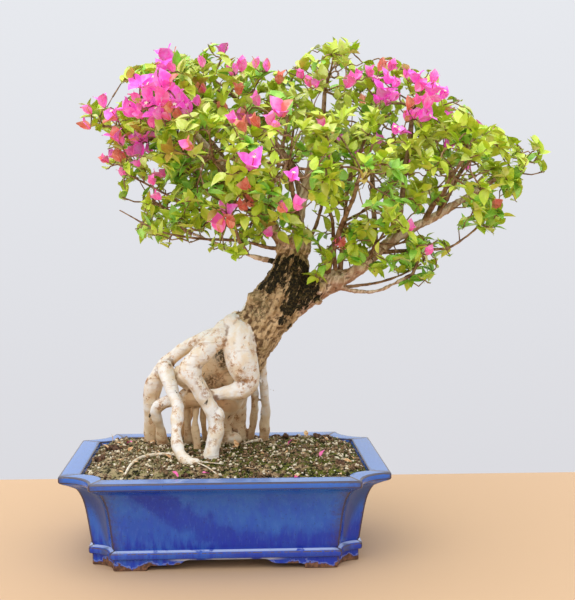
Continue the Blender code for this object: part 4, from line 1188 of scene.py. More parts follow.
GRIT = {
    "pale_grit": (
        tone(196, 176, 138), tone(246, 236, 212), 0.9,
        ((820, 0.002, 0.001, 0.003, 0.7, 0.3), (210, 0.004, 0.0034, 0.006, 0.6, 0.25)),
    ),
    "brown_grit": (
        tone(74, 54, 38), tone(158, 128, 94), 0.95,
        ((900, 0.002, 0.0016, 0.004, 0.7, 0.25), (200, 0.004, 0.004, 0.0075, 0.6, 0.2)),
    ),
}
TUFT_TRIES = 5200
stone, tuft = stone_pattern(0.25), tuft_pattern()
for name, (first, second, roughness, sorts) in GRIT.items():
    crumbs = [crumb for sort in sorts for crumb in strewn_frames(*sort)]
    finish = plain_finish(name, first, second, 0.003, roughness)
    finish_piece(strew(name, stone, crumbs), finish)
tuft_frames = []
for x, y in ground_places(TUFT_TRIES, 0.003):
    if sin(x * 61 + 1.3) + sin(y * 83) + chance.uniform(-0.9, 0.9) > -0.35:
        size = chance.uniform(0.0016, 0.0034)
        place = on_ground(x, y, chance.uniform(-0.001, 0.001))
        ahead = random_unit() * 0.3 + Vector((cos(x * 900), sin(y * 700), 0))
        tuft_frames.append(frame_at(place, ahead, UP, (size, size, size)))
tuft_finish = plain_finish("moss_green", tone(52, 54, 18), tone(140, 142, 58), 0.01, 0.9)
finish_piece(strew("moss_tufts", tuft, tuft_frames), tuft_finish)

# %% [markdown]
# A few larger things lie on the moss: lumps of dark bark, dry curled leaves, fallen bracts and a
# pale surface root that wanders out towards the front left corner.

# %% Lumps of bark and the surface roots
LUMPS = [
    (-171, -6, 12), (-163, 52, 11), (-149, 18, 13), (72, 104, 10), (83, 88, 11), (132, 86, 11),
    (146, 80, 12), (147, -80, 11), (40, 110, 9), (-158, 36, 10), (-52, -112, 7), (100, 96, 9),
]
lump_frames = []
for x, y, size in np.array(LUMPS) / 1000:
    for part in range(6):
        offset = random_unit() * size * 0.42
        place = on_ground(x, y, size * 0.2) + Vector((offset.x, offset.y, offset.z * 0.3))
        grain = chance.uniform(0.45, 0.85) * size
        sizes = (grain, grain * 1.3, grain * 0.7)
        lump_frames.append(frame_at(place, random_unit(), UP, sizes))
lumps = strew("bark_lumps", stone_pattern(0.32), lump_frames)
lump_finish = plain_finish("dark_bark_lumps", tone(58, 40, 30), tone(118, 86, 64), 0.003, 0.95)
finish_piece(lumps, lump_finish)
SURFACE_ROOTS = [
    [((-66, -20, 127.5), 2.2), ((-90, -24, 129.5), 2.4), ((-108, -34, 129), 2.3),
     ((-118, -54, 128.5), 2.1), ((-123, -88, 128), 1.8), ((-126, -118, 125), 1.2)],
    [((-48, -68, 128.5), 1.3), ((-36, -78, 129), 1), ((-24, -98, 128.5), 0.9), ((-12, -124, 126), 0.6)],
    [((-52, -70, 128.5), 1.1), ((-30, -72, 129.2), 0.9), ((-4, -80, 128), 0.6)],
    [((50, 74, 127), 3), ((36, 62, 128), 1.8), ((24, 50, 126.5), 1)],
]
root_paths = [smooth_path(in_metres(root), LIMB_STEP) for root in SURFACE_ROOTS]
surface_roots = sweep("surface_roots", root_paths, 2)
surface_roots.data.shade_smooth()
DRY_LEAVES = 64
litter_frames = []
for x, y in ground_places(DRY_LEAVES, 0.01):
    size = chance.uniform(0.006, 0.015)
    ahead = random_unit() + UP * 0.1
    up = UP + random_unit() * 0.4
    litter_frames.append(frame_at(on_ground(x, y, 0.0026), ahead, up, (size, size, size)))
PETALS = [
    (-139, 51), (-21, -112), (85, 24), (93, -126), (124, -48), (106, -124), (-60, -118),
]
petal_frames = []
for x, y in np.array(PETALS) / 1000:
    ahead = random_unit() + UP * 0.2
    petal_frames.append(frame_at(on_ground(x, y, 0.003), ahead, UP, (0.01, 0.011, 0.01)))
root_finish = plain_finish("thin_root_bark", tone(206, 180, 142), tone(244, 236, 218), 0.006, 0.8)
finish_piece(surface_roots, root_finish)

# %% [markdown]
# ## The crown
#
# A bougainvillea crown is a dense net of thin shoots. The source divides it into nineteen
# masses, and each keeps to its own egg-shaped space round the tip of a bough. The same spaces
# and the same rule are used here: a stem goes on from the tip, twigs reach for points that are
# spread through the space, and each joins the nearest place on what has grown. Here the rule is
# then carried on to much finer shoots.

# %% The masses
MASSES = {
    "right_tip": ((403, 20, 511), (57, 80, 56)),
    "left_front": ((-84, -65, 600), (58, 90, 58)),
    "top_middle": ((138, 20, 633), (78, 105, 68)),
    "left_low": ((-98, 10, 468), (66, 95, 72)),
    "right_low": ((278, -5, 410), (60, 85, 62)),
    "left_tip": ((-148, 30, 568), (54, 90, 60)),
    "left_back": ((-86, 115, 618), (66, 90, 66)),
    "inner_front": ((-21, -95, 522), (64, 95, 70)),
    "inner_back": ((-33, 145, 539), (74, 100, 84)),
    "centre_low": ((6, -20, 442), (62, 95, 54)),
    "top_left": ((3, 30, 618), (72, 100, 64)),
    "middle_front": ((77, -115, 512), (66, 95, 80)),
    "middle_back": ((94, 150, 545), (80, 100, 95)),
    "right_centre_low": ((202, -45, 416), (52, 75, 50)),
    "right_inner_front": ((173, -105, 508), (64, 95, 74)),
    "right_inner_back": ((217, 145, 525), (76, 100, 94)),
    "top_right": ((256, 10, 600), (76, 105, 64)),
    "right_front": ((300, -65, 508), (66, 95, 70)),
    "right_back": ((333, 110, 530), (70, 95, 78)),
}
MASS_OF_BOUGH = {
    "bough_right": "right_tip", "bough_left": "left_front", "bough_top": "top_middle",
    "bough_low_left": "left_low", "bough_low_right": "right_low",
}
SIDE_BRANCHES = {
    "left_tip": ("bough_left", 0.66, 0.01), "left_back": ("bough_left", 0.5, 0.012),
    "inner_front": ("bough_left", 0.36, 0.006), "inner_back": ("bough_left", 0.22, 0.008),
    "centre_low": ("bough_low_left", 0.4, 0.002), "top_left": ("bough_top", 0.52, 0.006),
    "middle_front": ("bough_top", 0.2, 0.004), "middle_back": ("bough_top", 0.34, 0.008),
    "right_inner_front": ("shoulder", 0.8, 0.01), "right_inner_back": ("bough_right", 0.28, 0.01),
    "right_centre_low": ("bough_right", 0.2, 0.002), "top_right": ("bough_right", 0.44, 0.004),
    "right_front": ("bough_right", 0.62, 0.004), "right_back": ("bough_right", 0.72, 0.004),
}
print("masses:", len(MASSES))

# %% [markdown]
# Five masses sit on the tips of the main boughs. Each of the others gets a side branch, which
# leaves its parent at a share of the parent's length and rises a little on its way. The thin
# limbs that show between the masses are given point by point.

# %% Side branches and thin limbs
EXTRA_LIMBS = [
    [((150, 10, 366), 3.6), ((147, 4, 404), 3), ((144, -4, 441), 2.6), ((135, -10, 463), 2.3),
     ((122, -14, 490), 1.8)],
    [((156, 14, 366), 4), ((160, 12, 413), 3.3), ((163, 12, 449), 2.8), ((167, 14, 486), 2.4),
     ((176, 16, 530), 1.8)],
    [((100, 20, 398), 3.6), ((118, 20, 422), 2.8), ((129, 24, 450), 2.3), ((138, 30, 490), 1.6)],
    [((296, 11, 458), 4), ((313, 18, 490), 3.2), ((328, 28, 514), 2.6), ((346, 38, 534), 1.8)],
    [((210, 4, 398), 3), ((262, -4, 402), 2.4), ((300, -4, 404), 2), ((325, -2, 418), 1.6),
     ((352, 0, 440), 1.2)],
    [((150, 4, 350), 2.6), ((204, 8, 356), 1.8), ((240, 10, 367), 1.4), ((268, 10, 382), 1)],
    [((90, 16, 404), 3), ((62, 10, 404), 2.6), ((20, 4, 414), 2.1), ((-34, -4, 417), 1.7),
     ((-87, -6, 427), 1.3), ((-140, -8, 455), 0.8)],
    [((82, 12, 400), 5.2), ((52, 10, 438), 4), ((18, 4, 463), 3.2), ((-14, -2, 484), 2.6),
     ((-50, -12, 510), 1.8)],
    [((15, 4, 461), 2.8), ((-15, -8, 474), 2.4), ((-38, -18, 500), 2), ((-56, -24, 534), 1.8),
     ((-68, -28, 570), 1.4)],
    [((78, 12, 412), 4), ((60, 4, 453), 3.2), ((63, -6, 487), 2.8), ((73, -12, 522), 2.4),
     ((80, -16, 558), 2), ((84, -20, 592), 1.4)],
    [((72, -12, 519), 2), ((55, -16, 537), 1.7), ((43, -20, 568), 1.2)],
    [((6, 0, 439), 2.4), ((-40, -10, 457), 2), ((-90, -12, 482), 1.6), ((-132, -14, 504), 1)],
    [((165, 10, 483), 2.6), ((179, -4, 529), 2.2), ((196, -12, 564), 1.8), ((221, -16, 584), 1.2)],
    [((287, 6, 446), 2.8), ((297, 0, 465), 2.2), ((307, -6, 488), 1.8), ((331, -10, 526), 1.2)],
    [((163, 8, 441), 2), ((193, -2, 458), 1.7), ((221, -8, 482), 1.3), ((237, -12, 502), 1)],
]
BRANCH_ENTRY, BRANCH_THICKEST, BRANCH_THINNEST = 0.72, 0.0047, 0.002


def place_along(path, share):
    """The point and radius at a share of a path's length."""
    lengths = [0.0]
    for before, after in zip(path, path[1:]):
        lengths.append(lengths[-1] + (after[0] - before[0]).length)
    wanted = share * lengths[-1]
    for index in range(1, len(path)):
        if lengths[index] >= wanted:
            t = (wanted - lengths[index - 1]) / (lengths[index] - lengths[index - 1])
            start, end = path[index - 1], path[index]
            return start[0].lerp(end[0], t), start[1] * (1 - t) + end[1] * t
    return path[-1]


branch_paths = {}
for mass, (parent, share, lift) in SIDE_BRANCHES.items():
    start, thickness = place_along(limb_paths[parent], share)
    middle, half = (Vector(value) / 1000 for value in MASSES[mass])
    inward = start - middle
    scaled = Vector((inward.x / half.x, inward.y / half.y, inward.z / half.z))
    tip = middle + inward * (BRANCH_ENTRY / scaled.length)
    bend = start.lerp(tip, 0.5) + Vector((0, 0, lift))
    first = min(thickness * 0.8, BRANCH_THICKEST)
    controls = [(start, first), (bend, first * 0.8), (tip, max(first * 0.55, BRANCH_THINNEST))]
    branch_paths[mass] = smooth_path(controls, LIMB_STEP)
extra_paths = [smooth_path(in_metres(limb), LIMB_STEP) for limb in EXTRA_LIMBS]
tip_paths = {mass: limb_paths[limb] for limb, mass in MASS_OF_BOUGH.items()}
tip_paths.update(branch_paths)
print("branches:", len(branch_paths) + len(extra_paths))

# %% [markdown]
# The outline of the crown from the front is what makes this tree this tree, so it is given as a
# ring of points. A leaf or a shoot is kept only where it falls inside the ring as the camera
# sees it, and round openings let the sky through. These two tables aren't worked out here: most
# of their numbers were made by a separate program that traced the photograph.

# %% The outline and the openings
EYE = Vector((0.0052, -1.4095, 0.4348))
FRONT_PLANE = 0.02
CROWN_RING = [
    (156, 690), (179, 675), (187, 662), (224, 664), (259, 646), (290, 648), (299, 622), (313, 610),
    (326, 608), (327, 599), (348, 575), (370, 575), (395, 552), (420, 554), (432, 543), (433, 533),
    (453, 519), (438, 506), (419, 514), (408, 503), (413, 475), (406, 464), (392, 471), (384, 463),
    (388, 430), (376, 431), (365, 423), (346, 434), (330, 418), (319, 430), (328, 463), (319, 478),
    (311, 478), (293, 460), (276, 463), (259, 441), (262, 423), (267, 418), (308, 416), (313, 412),
    (309, 400), (322, 382), (308, 376), (311, 362), (287, 372), (282, 354), (272, 356), (266, 350),
    (265, 334), (247, 352), (241, 370), (227, 371), (216, 357), (199, 374), (161, 367), (149, 354),
    (130, 346), (107, 349), (102, 363), (107, 385), (120, 398), (135, 401), (132, 411), (114, 409),
    (97, 411), (80, 430), (63, 431), (63, 418), (55, 413), (55, 405), (41, 405), (11, 382), (4, 398),
    (-24, 399), (-22, 418), (-27, 424), (-34, 424), (-45, 409), (-70, 417), (-79, 402), (-94, 415),
    (-112, 416), (-122, 425), (-123, 432), (-112, 438), (-115, 467), (-104, 488), (-121, 496),
    (-141, 467), (-144, 492), (-164, 506), (-162, 516), (-167, 521), (-162, 549), (-176, 566),
    (-193, 568), (-187, 582), (-188, 594), (-165, 609), (-148, 611), (-142, 601), (-133, 601),
    (-125, 609), (-125, 619), (-141, 628), (-131, 646), (-94, 652), (-81, 673), (-39, 659), (-22, 680),
    (-1, 681), (14, 677), (10, 665), (16, 658), (27, 658), (39, 668), (45, 658), (74, 656), (80, 647),
    (88, 647), (115, 672),
]
OPENINGS = {
    6.8: [(241, 576)],
    6.6: [(131, 601), (97, 490)],
    6.5: [(171, 456)],
    6.2: [(110, 449)],
    6.1: [(302, 385)],
    5.8: [(177, 465)],
    5.6: [(-149, 599)],
    5.5: [(180, 661)],
    5.3: [(252, 564), (-1, 516), (231, 408), (220, 395)],
    5.1: [(207, 449)],
    4.9: [(374, 477), (-121, 616), (137, 608), (138, 599), (101, 513), (203, 492)],
    4.3: [(141, 612), (413, 547), (-75, 485), (334, 453)],
    4.1: [(221, 564), (264, 503), (346, 500), (125, 664), (340, 515), (108, 497), (107, 480)],
    4: [(121, 387)],
    3.9: [
        (7, 669), (176, 651), (76, 646), (5, 599), (241, 586), (421, 517), (-101, 515), (-90, 506),
        (208, 495), (184, 477), (115, 437), (265, 353),
    ],
    3.1: [
        (153, 644), (145, 639), (186, 610), (123, 601), (175, 580), (167, 577), (415, 541), (-156, 506),
        (-84, 505), (269, 501), (296, 500), (199, 489), (252, 455), (200, 450), (256, 444), (-72, 420),
        (242, 403), (127, 389), (237, 381), (309, 380), (306, 378), (219, 373), (222, 370), (134, 412),
    ],
    2.7: [
        (-115, 615), (212, 565), (-62, 562), (93, 557), (-162, 554), (75, 551), (38, 549), (299, 548),
        (-159, 532), (371, 525), (106, 518), (-144, 511), (-151, 510), (98, 483), (193, 482),
        (241, 480), (280, 473), (110, 464), (154, 458), (98, 453), (194, 450), (34, 435),
    ],
}
ring_start = np.array(CROWN_RING) / 1000
ring_end = np.roll(ring_start, -1, axis=0)
ring_rise = ring_end[:, 1] - ring_start[:, 1]
ring_slope = (ring_end[:, 0] - ring_start[:, 0]) / np.where(ring_rise == 0, 1.0, ring_rise)
opening_rows = np.array([(x, z, radius) for radius, row in OPENINGS.items() for x, z in row]) / 1000


def from_the_front(point):
    """Where a point is seen on the crown's front plane, as x and z."""
    share = (FRONT_PLANE - EYE.y) / (point.y - EYE.y)
    seen = EYE + (point - EYE) * share
    return seen.x, seen.z


def in_ring(x, z):
    """Whether a place on the front plane lies inside the crown's outline."""
    crossed = (ring_start[:, 1] > z) != (ring_end[:, 1] > z)
    return bool((crossed & (x < ring_start[:, 0] + (z - ring_start[:, 1]) * ring_slope)).sum() % 2)


def opening_gap(xs, zs):
    """How far places on the front plane stay outside the openings, at the nearest of them."""
    gaps = np.hypot(opening_rows[:, 0, None] - xs, opening_rows[:, 1, None] - zs)
    return float((gaps - opening_rows[:, 2, None]).min())


print("ring points:", len(CROWN_RING), "openings:", len(opening_rows))

# %% [markdown]
# These are places in the front of the crown that need a shoot, as x and z on the front plane.
# Most were listed by a separate program, where the photograph had leaves and a render had none.

# %% The shoots of the front
FRONT_SHOOTS = [
    (120, 452), (257, 345), (18, 390), (327, 497), (-20, 404), (247, 617), (312, 387), (-73, 467),
    (-16, 627), (-147, 501), (164, 519), (376, 436), (-16, 674), (312, 600), (430, 509), (131, 645),
    (212, 364), (268, 385), (303, 395), (139, 428), (-44, 413), (300, 372), (35, 659), (4, 672),
    (-137, 475), (-117, 430), (416, 545), (378, 475), (317, 433), (153, 471), (170, 558), (391, 476),
    (-136, 624), (168, 378), (32, 401), (138, 406), (191, 487), (364, 430), (7, 464), (99, 520),
    (275, 641), (-170, 566), (36, 629), (170, 655), (68, 649), (8, 408), (-8, 405), (240, 647),
    (141, 465), (291, 379), (81, 503), (319, 592), (159, 681), (158, 528), (-7, 545), (-109, 470),
    (131, 490), (236, 617), (210, 499), (-3, 472), (119, 487), (157, 606), (189, 655), (133, 378),
    (388, 546), (-76, 405), (328, 507), (27, 449), (177, 664), (325, 459), (216, 585), (216, 658),
    (115, 666), (157, 616), (404, 493), (369, 448), (162, 387), (152, 401), (120, 645), (96, 535),
    (81, 640), (362, 571), (-157, 509), (130, 447), (-103, 497), (287, 389), (276, 357), (149, 448),
    (301, 408), (9, 384), (81, 491), (-149, 605), (-114, 513), (253, 505), (-58, 661), (256, 560),
    (205, 621), (127, 395), (221, 502), (264, 639), (88, 433), (50, 416), (325, 483), (-167, 580),
    (-35, 428), (128, 608), (399, 467), (-92, 443), (116, 633), (265, 362), (394, 544), (133, 425),
    (-16, 663), (295, 414), (276, 417), (-10, 642), (419, 522), (-165, 561), (-78, 463), (146, 680),
    (-131, 482), (134, 640), (-136, 495), (339, 522), (131, 385), (331, 487), (430, 525), (169, 582),
    (185, 652), (379, 559), (341, 492), (-22, 674), (404, 486), (-156, 536), (-137, 470), (138, 398),
    (282, 642), (201, 658), (416, 538), (181, 602), (-109, 418), (361, 425), (223, 562), (-121, 642),
    (403, 551), (310, 606), (339, 506), (159, 645), (382, 480), (79, 446), (102, 423), (88, 456),
    (119, 391), (143, 391), (165, 393), (127, 382), (112, 364), (185, 395), (201, 395), (171, 373),
    (154, 431), (99, 464), (138, 469), (154, 458), (187, 426), (207, 431), (221, 376), (256, 510),
    (174, 589), (195, 405), (247, 610), (96, 546), (208, 486), (88, 560), (260, 340), (167, 672),
    (228, 553), (398, 549), (201, 613), (192, 418), (325, 444), (67, 641), (190, 618), (211, 543),
    (41, 620), (42, 439), (405, 537), (423, 541), (-95, 507), (112, 661), (-11, 478), (-10, 423),
]
print("front shoots:", len(FRONT_SHOOTS))

# %% [markdown]
# The crown fills the egg-shaped spaces of its masses, with a few small ones where sprays stand
# out and one round each shoot of the front. How deep a point lies in the nearest space decides
# much of what follows: where shoots may end, how many leaves they carry and how light they are.

# %% The space of the crown
CROWN_MIDDLE = Vector((0.12, 0.02, 0.48))
MASS_NAMES = list(MASSES)
MASS_MIDDLES = np.array([MASSES[mass][0] for mass in MASS_NAMES]) / 1000
MASS_HALVES = np.array([MASSES[mass][1] for mass in MASS_NAMES]) / 1000
SPRAYS = [
    ((362, 0, 444), (30, 40, 26)), ((438, 12, 526), (30, 50, 30)), ((-182, 6, 588), (24, 40, 26)),
    ((262, -4, 350), (28, 40, 22)), ((-92, 4, 420), (30, 40, 22)), ((165, 20, 680), (40, 50, 20)),
]
SPRAYS += [((x, 0, z), (22, 36, 22)) for x, z in FRONT_SHOOTS]
spray_rows = np.array(SPRAYS) / 1000
SPACE_MIDDLES = np.vstack([MASS_MIDDLES, spray_rows[:, 0]])
SPACE_HALVES = np.vstack([MASS_HALVES, spray_rows[:, 1]])


def crown_share(point):
    """The squared share of the nearest mass's half sizes at which a point lies."""
    return float(((((np.array(point) - SPACE_MIDDLES) / SPACE_HALVES) ** 2).sum(axis=1)).min())


def in_crown(point, reach, clear=0.0):
    """Whether a point lies in the crown's space, seen from the front and from all round."""
    x, z = from_the_front(point)
    return in_ring(x, z) and opening_gap(x, z) >= clear and crown_share(point) < reach


print("spaces:", len(SPACE_MIDDLES))

# %% [markdown]
# The blooms are the eye-catchers, so their places in the front are listed, each with its reach.
# Most places and kinds were found by a separate program from the colours of the photograph. Each
# bloom is set into the front of the crown's space, and becomes the end of a shoot like any other.

# %% Where the blooms are
FRONT_BLOOMS = {
    "magenta": [
        (216, 619, 10), (283, 624, 10), (-54, 595, 10), (-129, 591, 10), (-97, 627, 10), (-94, 588, 10),
        (-118, 536, 10), (35, 520, 10), (-77, 627, 9), (-78, 663, 9), (274, 586, 9), (-66, 610, 8),
        (-118, 628, 8), (-153, 583, 8), (224, 637, 8), (-148, 557, 8), (-84, 648, 7), (-164, 602, 7),
        (-111, 553, 7), (259, 638, 7), (3, 455, 7), (299, 614, 6), (231, 611, 6), (-39, 603, 6),
        (12, 645, 6), (259, 588, 6), (123, 629, 5), (233, 565, 5), (182, 640, 5), (206, 633, 5),
        (222, 604, 5), (248, 642, 4), (289, 609, 4), (207, 607, 4), (-69, 598, 4), (243, 565, 4),
        (-123, 553, 4), (-119, 521, 4), (233, 629, 4), (-104, 600, 4), (91, 502, 6),
    ],
    "pink": [
        (-86, 608, 10), (76, 593, 10), (27, 582, 10), (170, 632, 9), (-9, 437, 9), (277, 605, 8),
        (42, 605, 7), (23, 651, 7), (266, 625, 7), (-104, 611, 7), (61, 579, 7), (99, 463, 7),
        (-113, 597, 6), (197, 643, 6), (253, 432, 6), (227, 652, 6), (-162, 524, 6), (102, 640, 5),
        (69, 570, 5), (57, 650, 5), (-120, 607, 5), (263, 606, 5), (-115, 583, 5), (-184, 590, 4),
        (-97, 553, 4), (152, 413, 4), (280, 400, 4), (42, 654, 4), (-72, 648, 4), (9, 579, 4),
        (-99, 573, 4), (131, 574, 4), (-93, 475, 4), (59, 424, 4), (-31, 655, 4), (114, 629, 4),
        (-140, 549, 4), (-103, 537, 4), (9, 644, 6), (285, 636, 6), (-99, 496, 6), (-113, 558, 6),
        (-128, 534, 6),
    ],
    "salmon": [
        (-32, 620, 7), (252, 600, 6), (-78, 594, 6), (78, 459, 6), (-188, 570, 5), (19, 619, 5),
        (42, 575, 5), (-145, 528, 5), (33, 467, 5), (7, 439, 5), (-80, 583, 4), (23, 569, 4),
        (373, 464, 4), (-3, 595, 4), (-65, 586, 4), (249, 584, 4), (28, 489, 4), (161, 408, 4),
        (-50, 543, 6), (-4, 596, 6), (74, 634, 6), (213, 652, 6), (24, 461, 6),
    ],
}
SIGHT_START, SIGHT_STEP, SIGHT_STEPS = -0.2, 0.005, 80
BLOOM_SIZES = {"magenta": (0.0165, 0.031), "pink": (0.0165, 0.031), "salmon": (0.0195, 0.031)}


def front_of_crown(x, z):
    """The nearest point to the viewer, on one line of sight, that lies in the crown's space."""
    target = Vector((x, FRONT_PLANE, z))
    for step in range(SIGHT_STEPS):
        y = SIGHT_START + step * SIGHT_STEP
        point = EYE + (target - EYE) * ((y - EYE.y) / (FRONT_PLANE - EYE.y))
        if crown_share(point) < 0.8:
            return point
    return target


def bloom_axis(point, forward):
    """The way a bloom faces: up and out of the crown, some of them towards the viewer."""
    outward = (point - CROWN_MIDDLE).normalized()
    axis = outward * 0.65 + Vector((0, -forward, 0.75)) + random_unit() * 0.5
    return axis.normalized()


blooms = []
for colour, places in FRONT_BLOOMS.items():
    for x, z, reach in places:
        centre = front_of_crown(x / 1000, z / 1000)
        axis = bloom_axis(centre, 0.3)
        smallest, largest = BLOOM_SIZES[colour]
        size = min(max(reach / 1000 * 3.0, smallest), largest)
        blooms.append((centre - axis * size * 0.45, colour, axis, size))
print("front blooms:", len(blooms))

# %% [markdown]
# Every shoot needs an end to grow to. Some ends are named, where single shoots stand out or hang
# down, and the rest are random points in the crown's space. A point that lies too near to another
# end is dropped, which spreads the leaves as evenly as light would. The front has its named
# blooms, and here some ends on the outside of the back become blooms as well.

# %% Where the shoots end
SHOOTS = 1400
SHOOT_ROOM = 0.0108
EDGE_ROOM = 0.003
LONE_ENDS = [
    (350, 2, 447), (364, -4, 440), (376, 4, 447), (370, 10, 456), (360, 0, 430), (344, -6, 436),
    (428, 6, 532), (420, 4, 546), (424, 10, 520), (-180, 10, 590), (-176, 0, 578), (262, -4, 352),
    (274, 4, 362), (250, -6, 360), (-90, 2, 424), (-104, -4, 430), (-78, 4, 416), (150, 18, 678),
    (166, 24, 682), (174, 18, 668), (76, -26, 439), (95, -26, 423), (104, -26, 418), (87, -26, 450),
    (124, -26, 380), (119, -26, 366), (139, -26, 386), (128, -26, 397), (70, -26, 426), (98, -26, 437),
    (114, -24, 424), (122, -24, 416), (109, -24, 431), (258, -20, 412), (270, -20, 420), (250, -20, 404),
]
TRIES = 90000
OTHER_BLOOMS = 54
ends, end_kinds = [], []
taken = np.full((SHOOTS, 3), 9.0)


def add_end(point, kind="leafy"):
    """Keep the end of a shoot, and note that its place is taken."""
    taken[len(ends)] = point
    ends.append(point)
    end_kinds.append(kind)


for centre, colour, axis, size in blooms:
    add_end(centre, colour)
for place in np.array(LONE_ENDS) / 1000:
    add_end(Vector(place))
lone_ends = range(len(blooms), len(ends))
for x, z in FRONT_SHOOTS:
    add_end(Vector((x / 1000, chance.uniform(-0.02, 0.02), z / 1000)))
low, high = MASS_MIDDLES - MASS_HALVES, MASS_MIDDLES + MASS_HALVES
for attempt in range(TRIES):
    if len(ends) >= SHOOTS:
        break
    which = chance.randrange(len(MASS_NAMES))
    point = Vector([chance.uniform(low[which][axis], high[which][axis]) for axis in range(3)])
    wanted = chance.random() <= 0.18 + 0.9 * crown_share(point) ** 1.5
    if wanted and in_crown(point, 0.97, EDGE_ROOM) and distances(taken, point).min() >= SHOOT_ROOM:
        add_end(point)
hidden = []
for index, end in enumerate(ends):
    if end_kinds[index] == "leafy" and crown_share(end) > 0.55 and end.y > 0.0 and end.z > 0.5:
        if in_ring(*from_the_front(end + (end - CROWN_MIDDLE).normalized() * 0.016)):
            hidden.append(index)
for index in chance.sample(hidden, OTHER_BLOOMS):
    end_kinds[index] = chance.choice(("magenta", "magenta", "magenta", "pink", "salmon"))
print("shoot ends:", len(ends))

# %% [markdown]
# Growing goes from the inside out. The limbs and the stems of the masses offer the first knots,
# and every shoot adds knots of its own. A shoot takes a knot that is near and that it can leave
# without turning back. It hangs a little on its way and then rises to its end.

# %% Twigs and knots
class Twig:
    """A twig: its points, the twig it grows from, and how many shoots it carries."""

    def __init__(self, points, parent):
        self.points = points
        self.parent = parent
        self.carried = 1

    @property
    def heading(self):
        """The way in which its last stretch points."""
        return (self.points[-1] - self.points[-2]).normalized()


twigs = []
knot_places, knot_headings, knot_twigs = [], [], []


def add_knot(place, heading, twig):
    """Offer a place on the wood, or on a twig, for a shoot to grow from."""
    knot_places.append(list(place))
    knot_headings.append(list(heading))
    knot_twigs.append(twig)


def add_twig(points, parent):
    """Keep a twig and offer knots along it."""
    twigs.append(Twig(points, parent))
    index = len(twigs) - 1
    for before, after in zip(points, points[1:]):
        heading = (after - before).normalized()
        add_knot(before.lerp(after, 0.5), heading, index)
        add_knot(after, heading, index)
    return index


def bent(start, heading, end, lift):
    """A gently bent path from a knot to an end, which leaves the knot near its heading."""
    length = (end - start).length
    third = start.lerp(end, 0.36)
    first = third.lerp(start + heading * length * 0.3 + (end - start) * 0.12, 0.45)
    second = start.lerp(end, 0.64) + Vector((0, 0, -lift * length)) + (first - third) * 0.35
    return [start, first, second, end]


for path in [limb_paths[limb] for limb in MAIN_BOUGHS] + list(branch_paths.values()) + extra_paths:
    for index in range(len(path) // 3, len(path) - 1, 3):
        add_knot(path[index][0], (path[index + 1][0] - path[index][0]).normalized(), None)
print("knots on the limbs:", len(knot_places))

# %% [markdown]
# The stem of a mass goes on from the tip of its bough, and ten first twigs spread from it. Then
# the shoots grow in the order of their distance from the wood. Staying on course is cheap and
# turning is dear, so the nearest knot isn't always the one that is taken.

# %% Grow the shoots
TWIG_ENDS = 10
for mass in MASS_NAMES:
    path = tip_paths[mass]
    tip, heading = path[-1][0], (path[-1][0] - path[-2][0]).normalized()
    middle, half = (Vector(value) / 1000 for value in MASSES[mass])
    points = [tip, tip + heading * 0.01, tip.lerp(middle, 0.6) + Vector((0, 0, 0.004)), middle]
    stem = add_twig(points, None)
    for index in range(TWIG_ENDS):
        height = 1 - 2 * (index + 0.5) / TWIG_ENDS
        ring = sqrt(1 - height * height)
        share = 0.62 if index % 3 else 0.42
        reach = Vector((ring * cos(index * GOLDEN), ring * sin(index * GOLDEN), height)) * share
        end = middle + Vector((reach.x * half.x, reach.y * half.y, reach.z * half.z))
        if in_crown(end, 1.0):
            start = middle.lerp(tip, 0.4 * (index % 3) / 3)
            add_twig(bent(start, (end - middle + heading * 0.02).normalized(), end, 0.05), stem)
first_places = np.array(knot_places)
from_wood = [distances(first_places, end).min() for end in ends]
order = sorted(range(len(ends)), key=lambda index: from_wood[index])
shoot_twigs = {}
for index in order:
    end = np.array(ends[index])
    reach = end - np.array(knot_places)
    distance = np.linalg.norm(reach, axis=1)
    turn = (reach * np.array(knot_headings)).sum(axis=1) / np.maximum(distance, 1e-6)
    cost = distance * (1.55 - 0.55 * turn) + 0.02 * (distance < 0.006)
    best = int(cost.argmin())
    start, heading = Vector(knot_places[best]), Vector(knot_headings[best])
    points = bent(start, heading, ends[index], 0.1)
    if index in lone_ends or not all(in_ring(*from_the_front(point)) for point in points[1:3]):
        points = [start, start.lerp(ends[index], 0.34), start.lerp(ends[index], 0.66), ends[index]]
    shoot_twigs[index] = add_twig(points, knot_twigs[best])
print("twigs:", len(twigs), "knots:", len(knot_places))

# %% [markdown]
# ## Leaves and bracts
#
# A bougainvillea leaf is an egg with a drawn-out tip. It is folded a little along its midrib and
# bends down towards the tip. Three slightly different leaves are enough, because every copy has
# its own size and turn. A bract is broader, thinner and wavy.

# %% Model the leaves and the bract
LEAF_STATIONS = [
    (-0.2, 0.012), (0.00, 0.02), (0.06, 0.13), (0.18, 0.235), (0.36, 0.285), (0.56, 0.252),
    (0.74, 0.165), (0.88, 0.072), (1.00, 0.004),
]
BRACT_STATIONS = [
    (0.00, 0.04), (0.11, 0.18), (0.27, 0.29), (0.45, 0.33), (0.62, 0.3), (0.77, 0.22), (0.9, 0.11),
    (1.00, 0.005),
]


def leaf_pattern(fold, droop, twist):
    """A leaf of unit length along Y, in three columns: margin, midrib, margin."""
    rows = []
    for along, half in LEAF_STATIONS:
        sag = -droop * max(along, 0) ** 2
        roll = twist * along
        row = []
        for side in (-1, 0, 1):
            x = side * half
            rise = abs(side) * half * fold + side * half * roll
            row.append((x, along - 0.06 * droop * along, sag + rise))
        rows.append(row)
    return pattern_of(sheet_from_rows("leaf", rows))


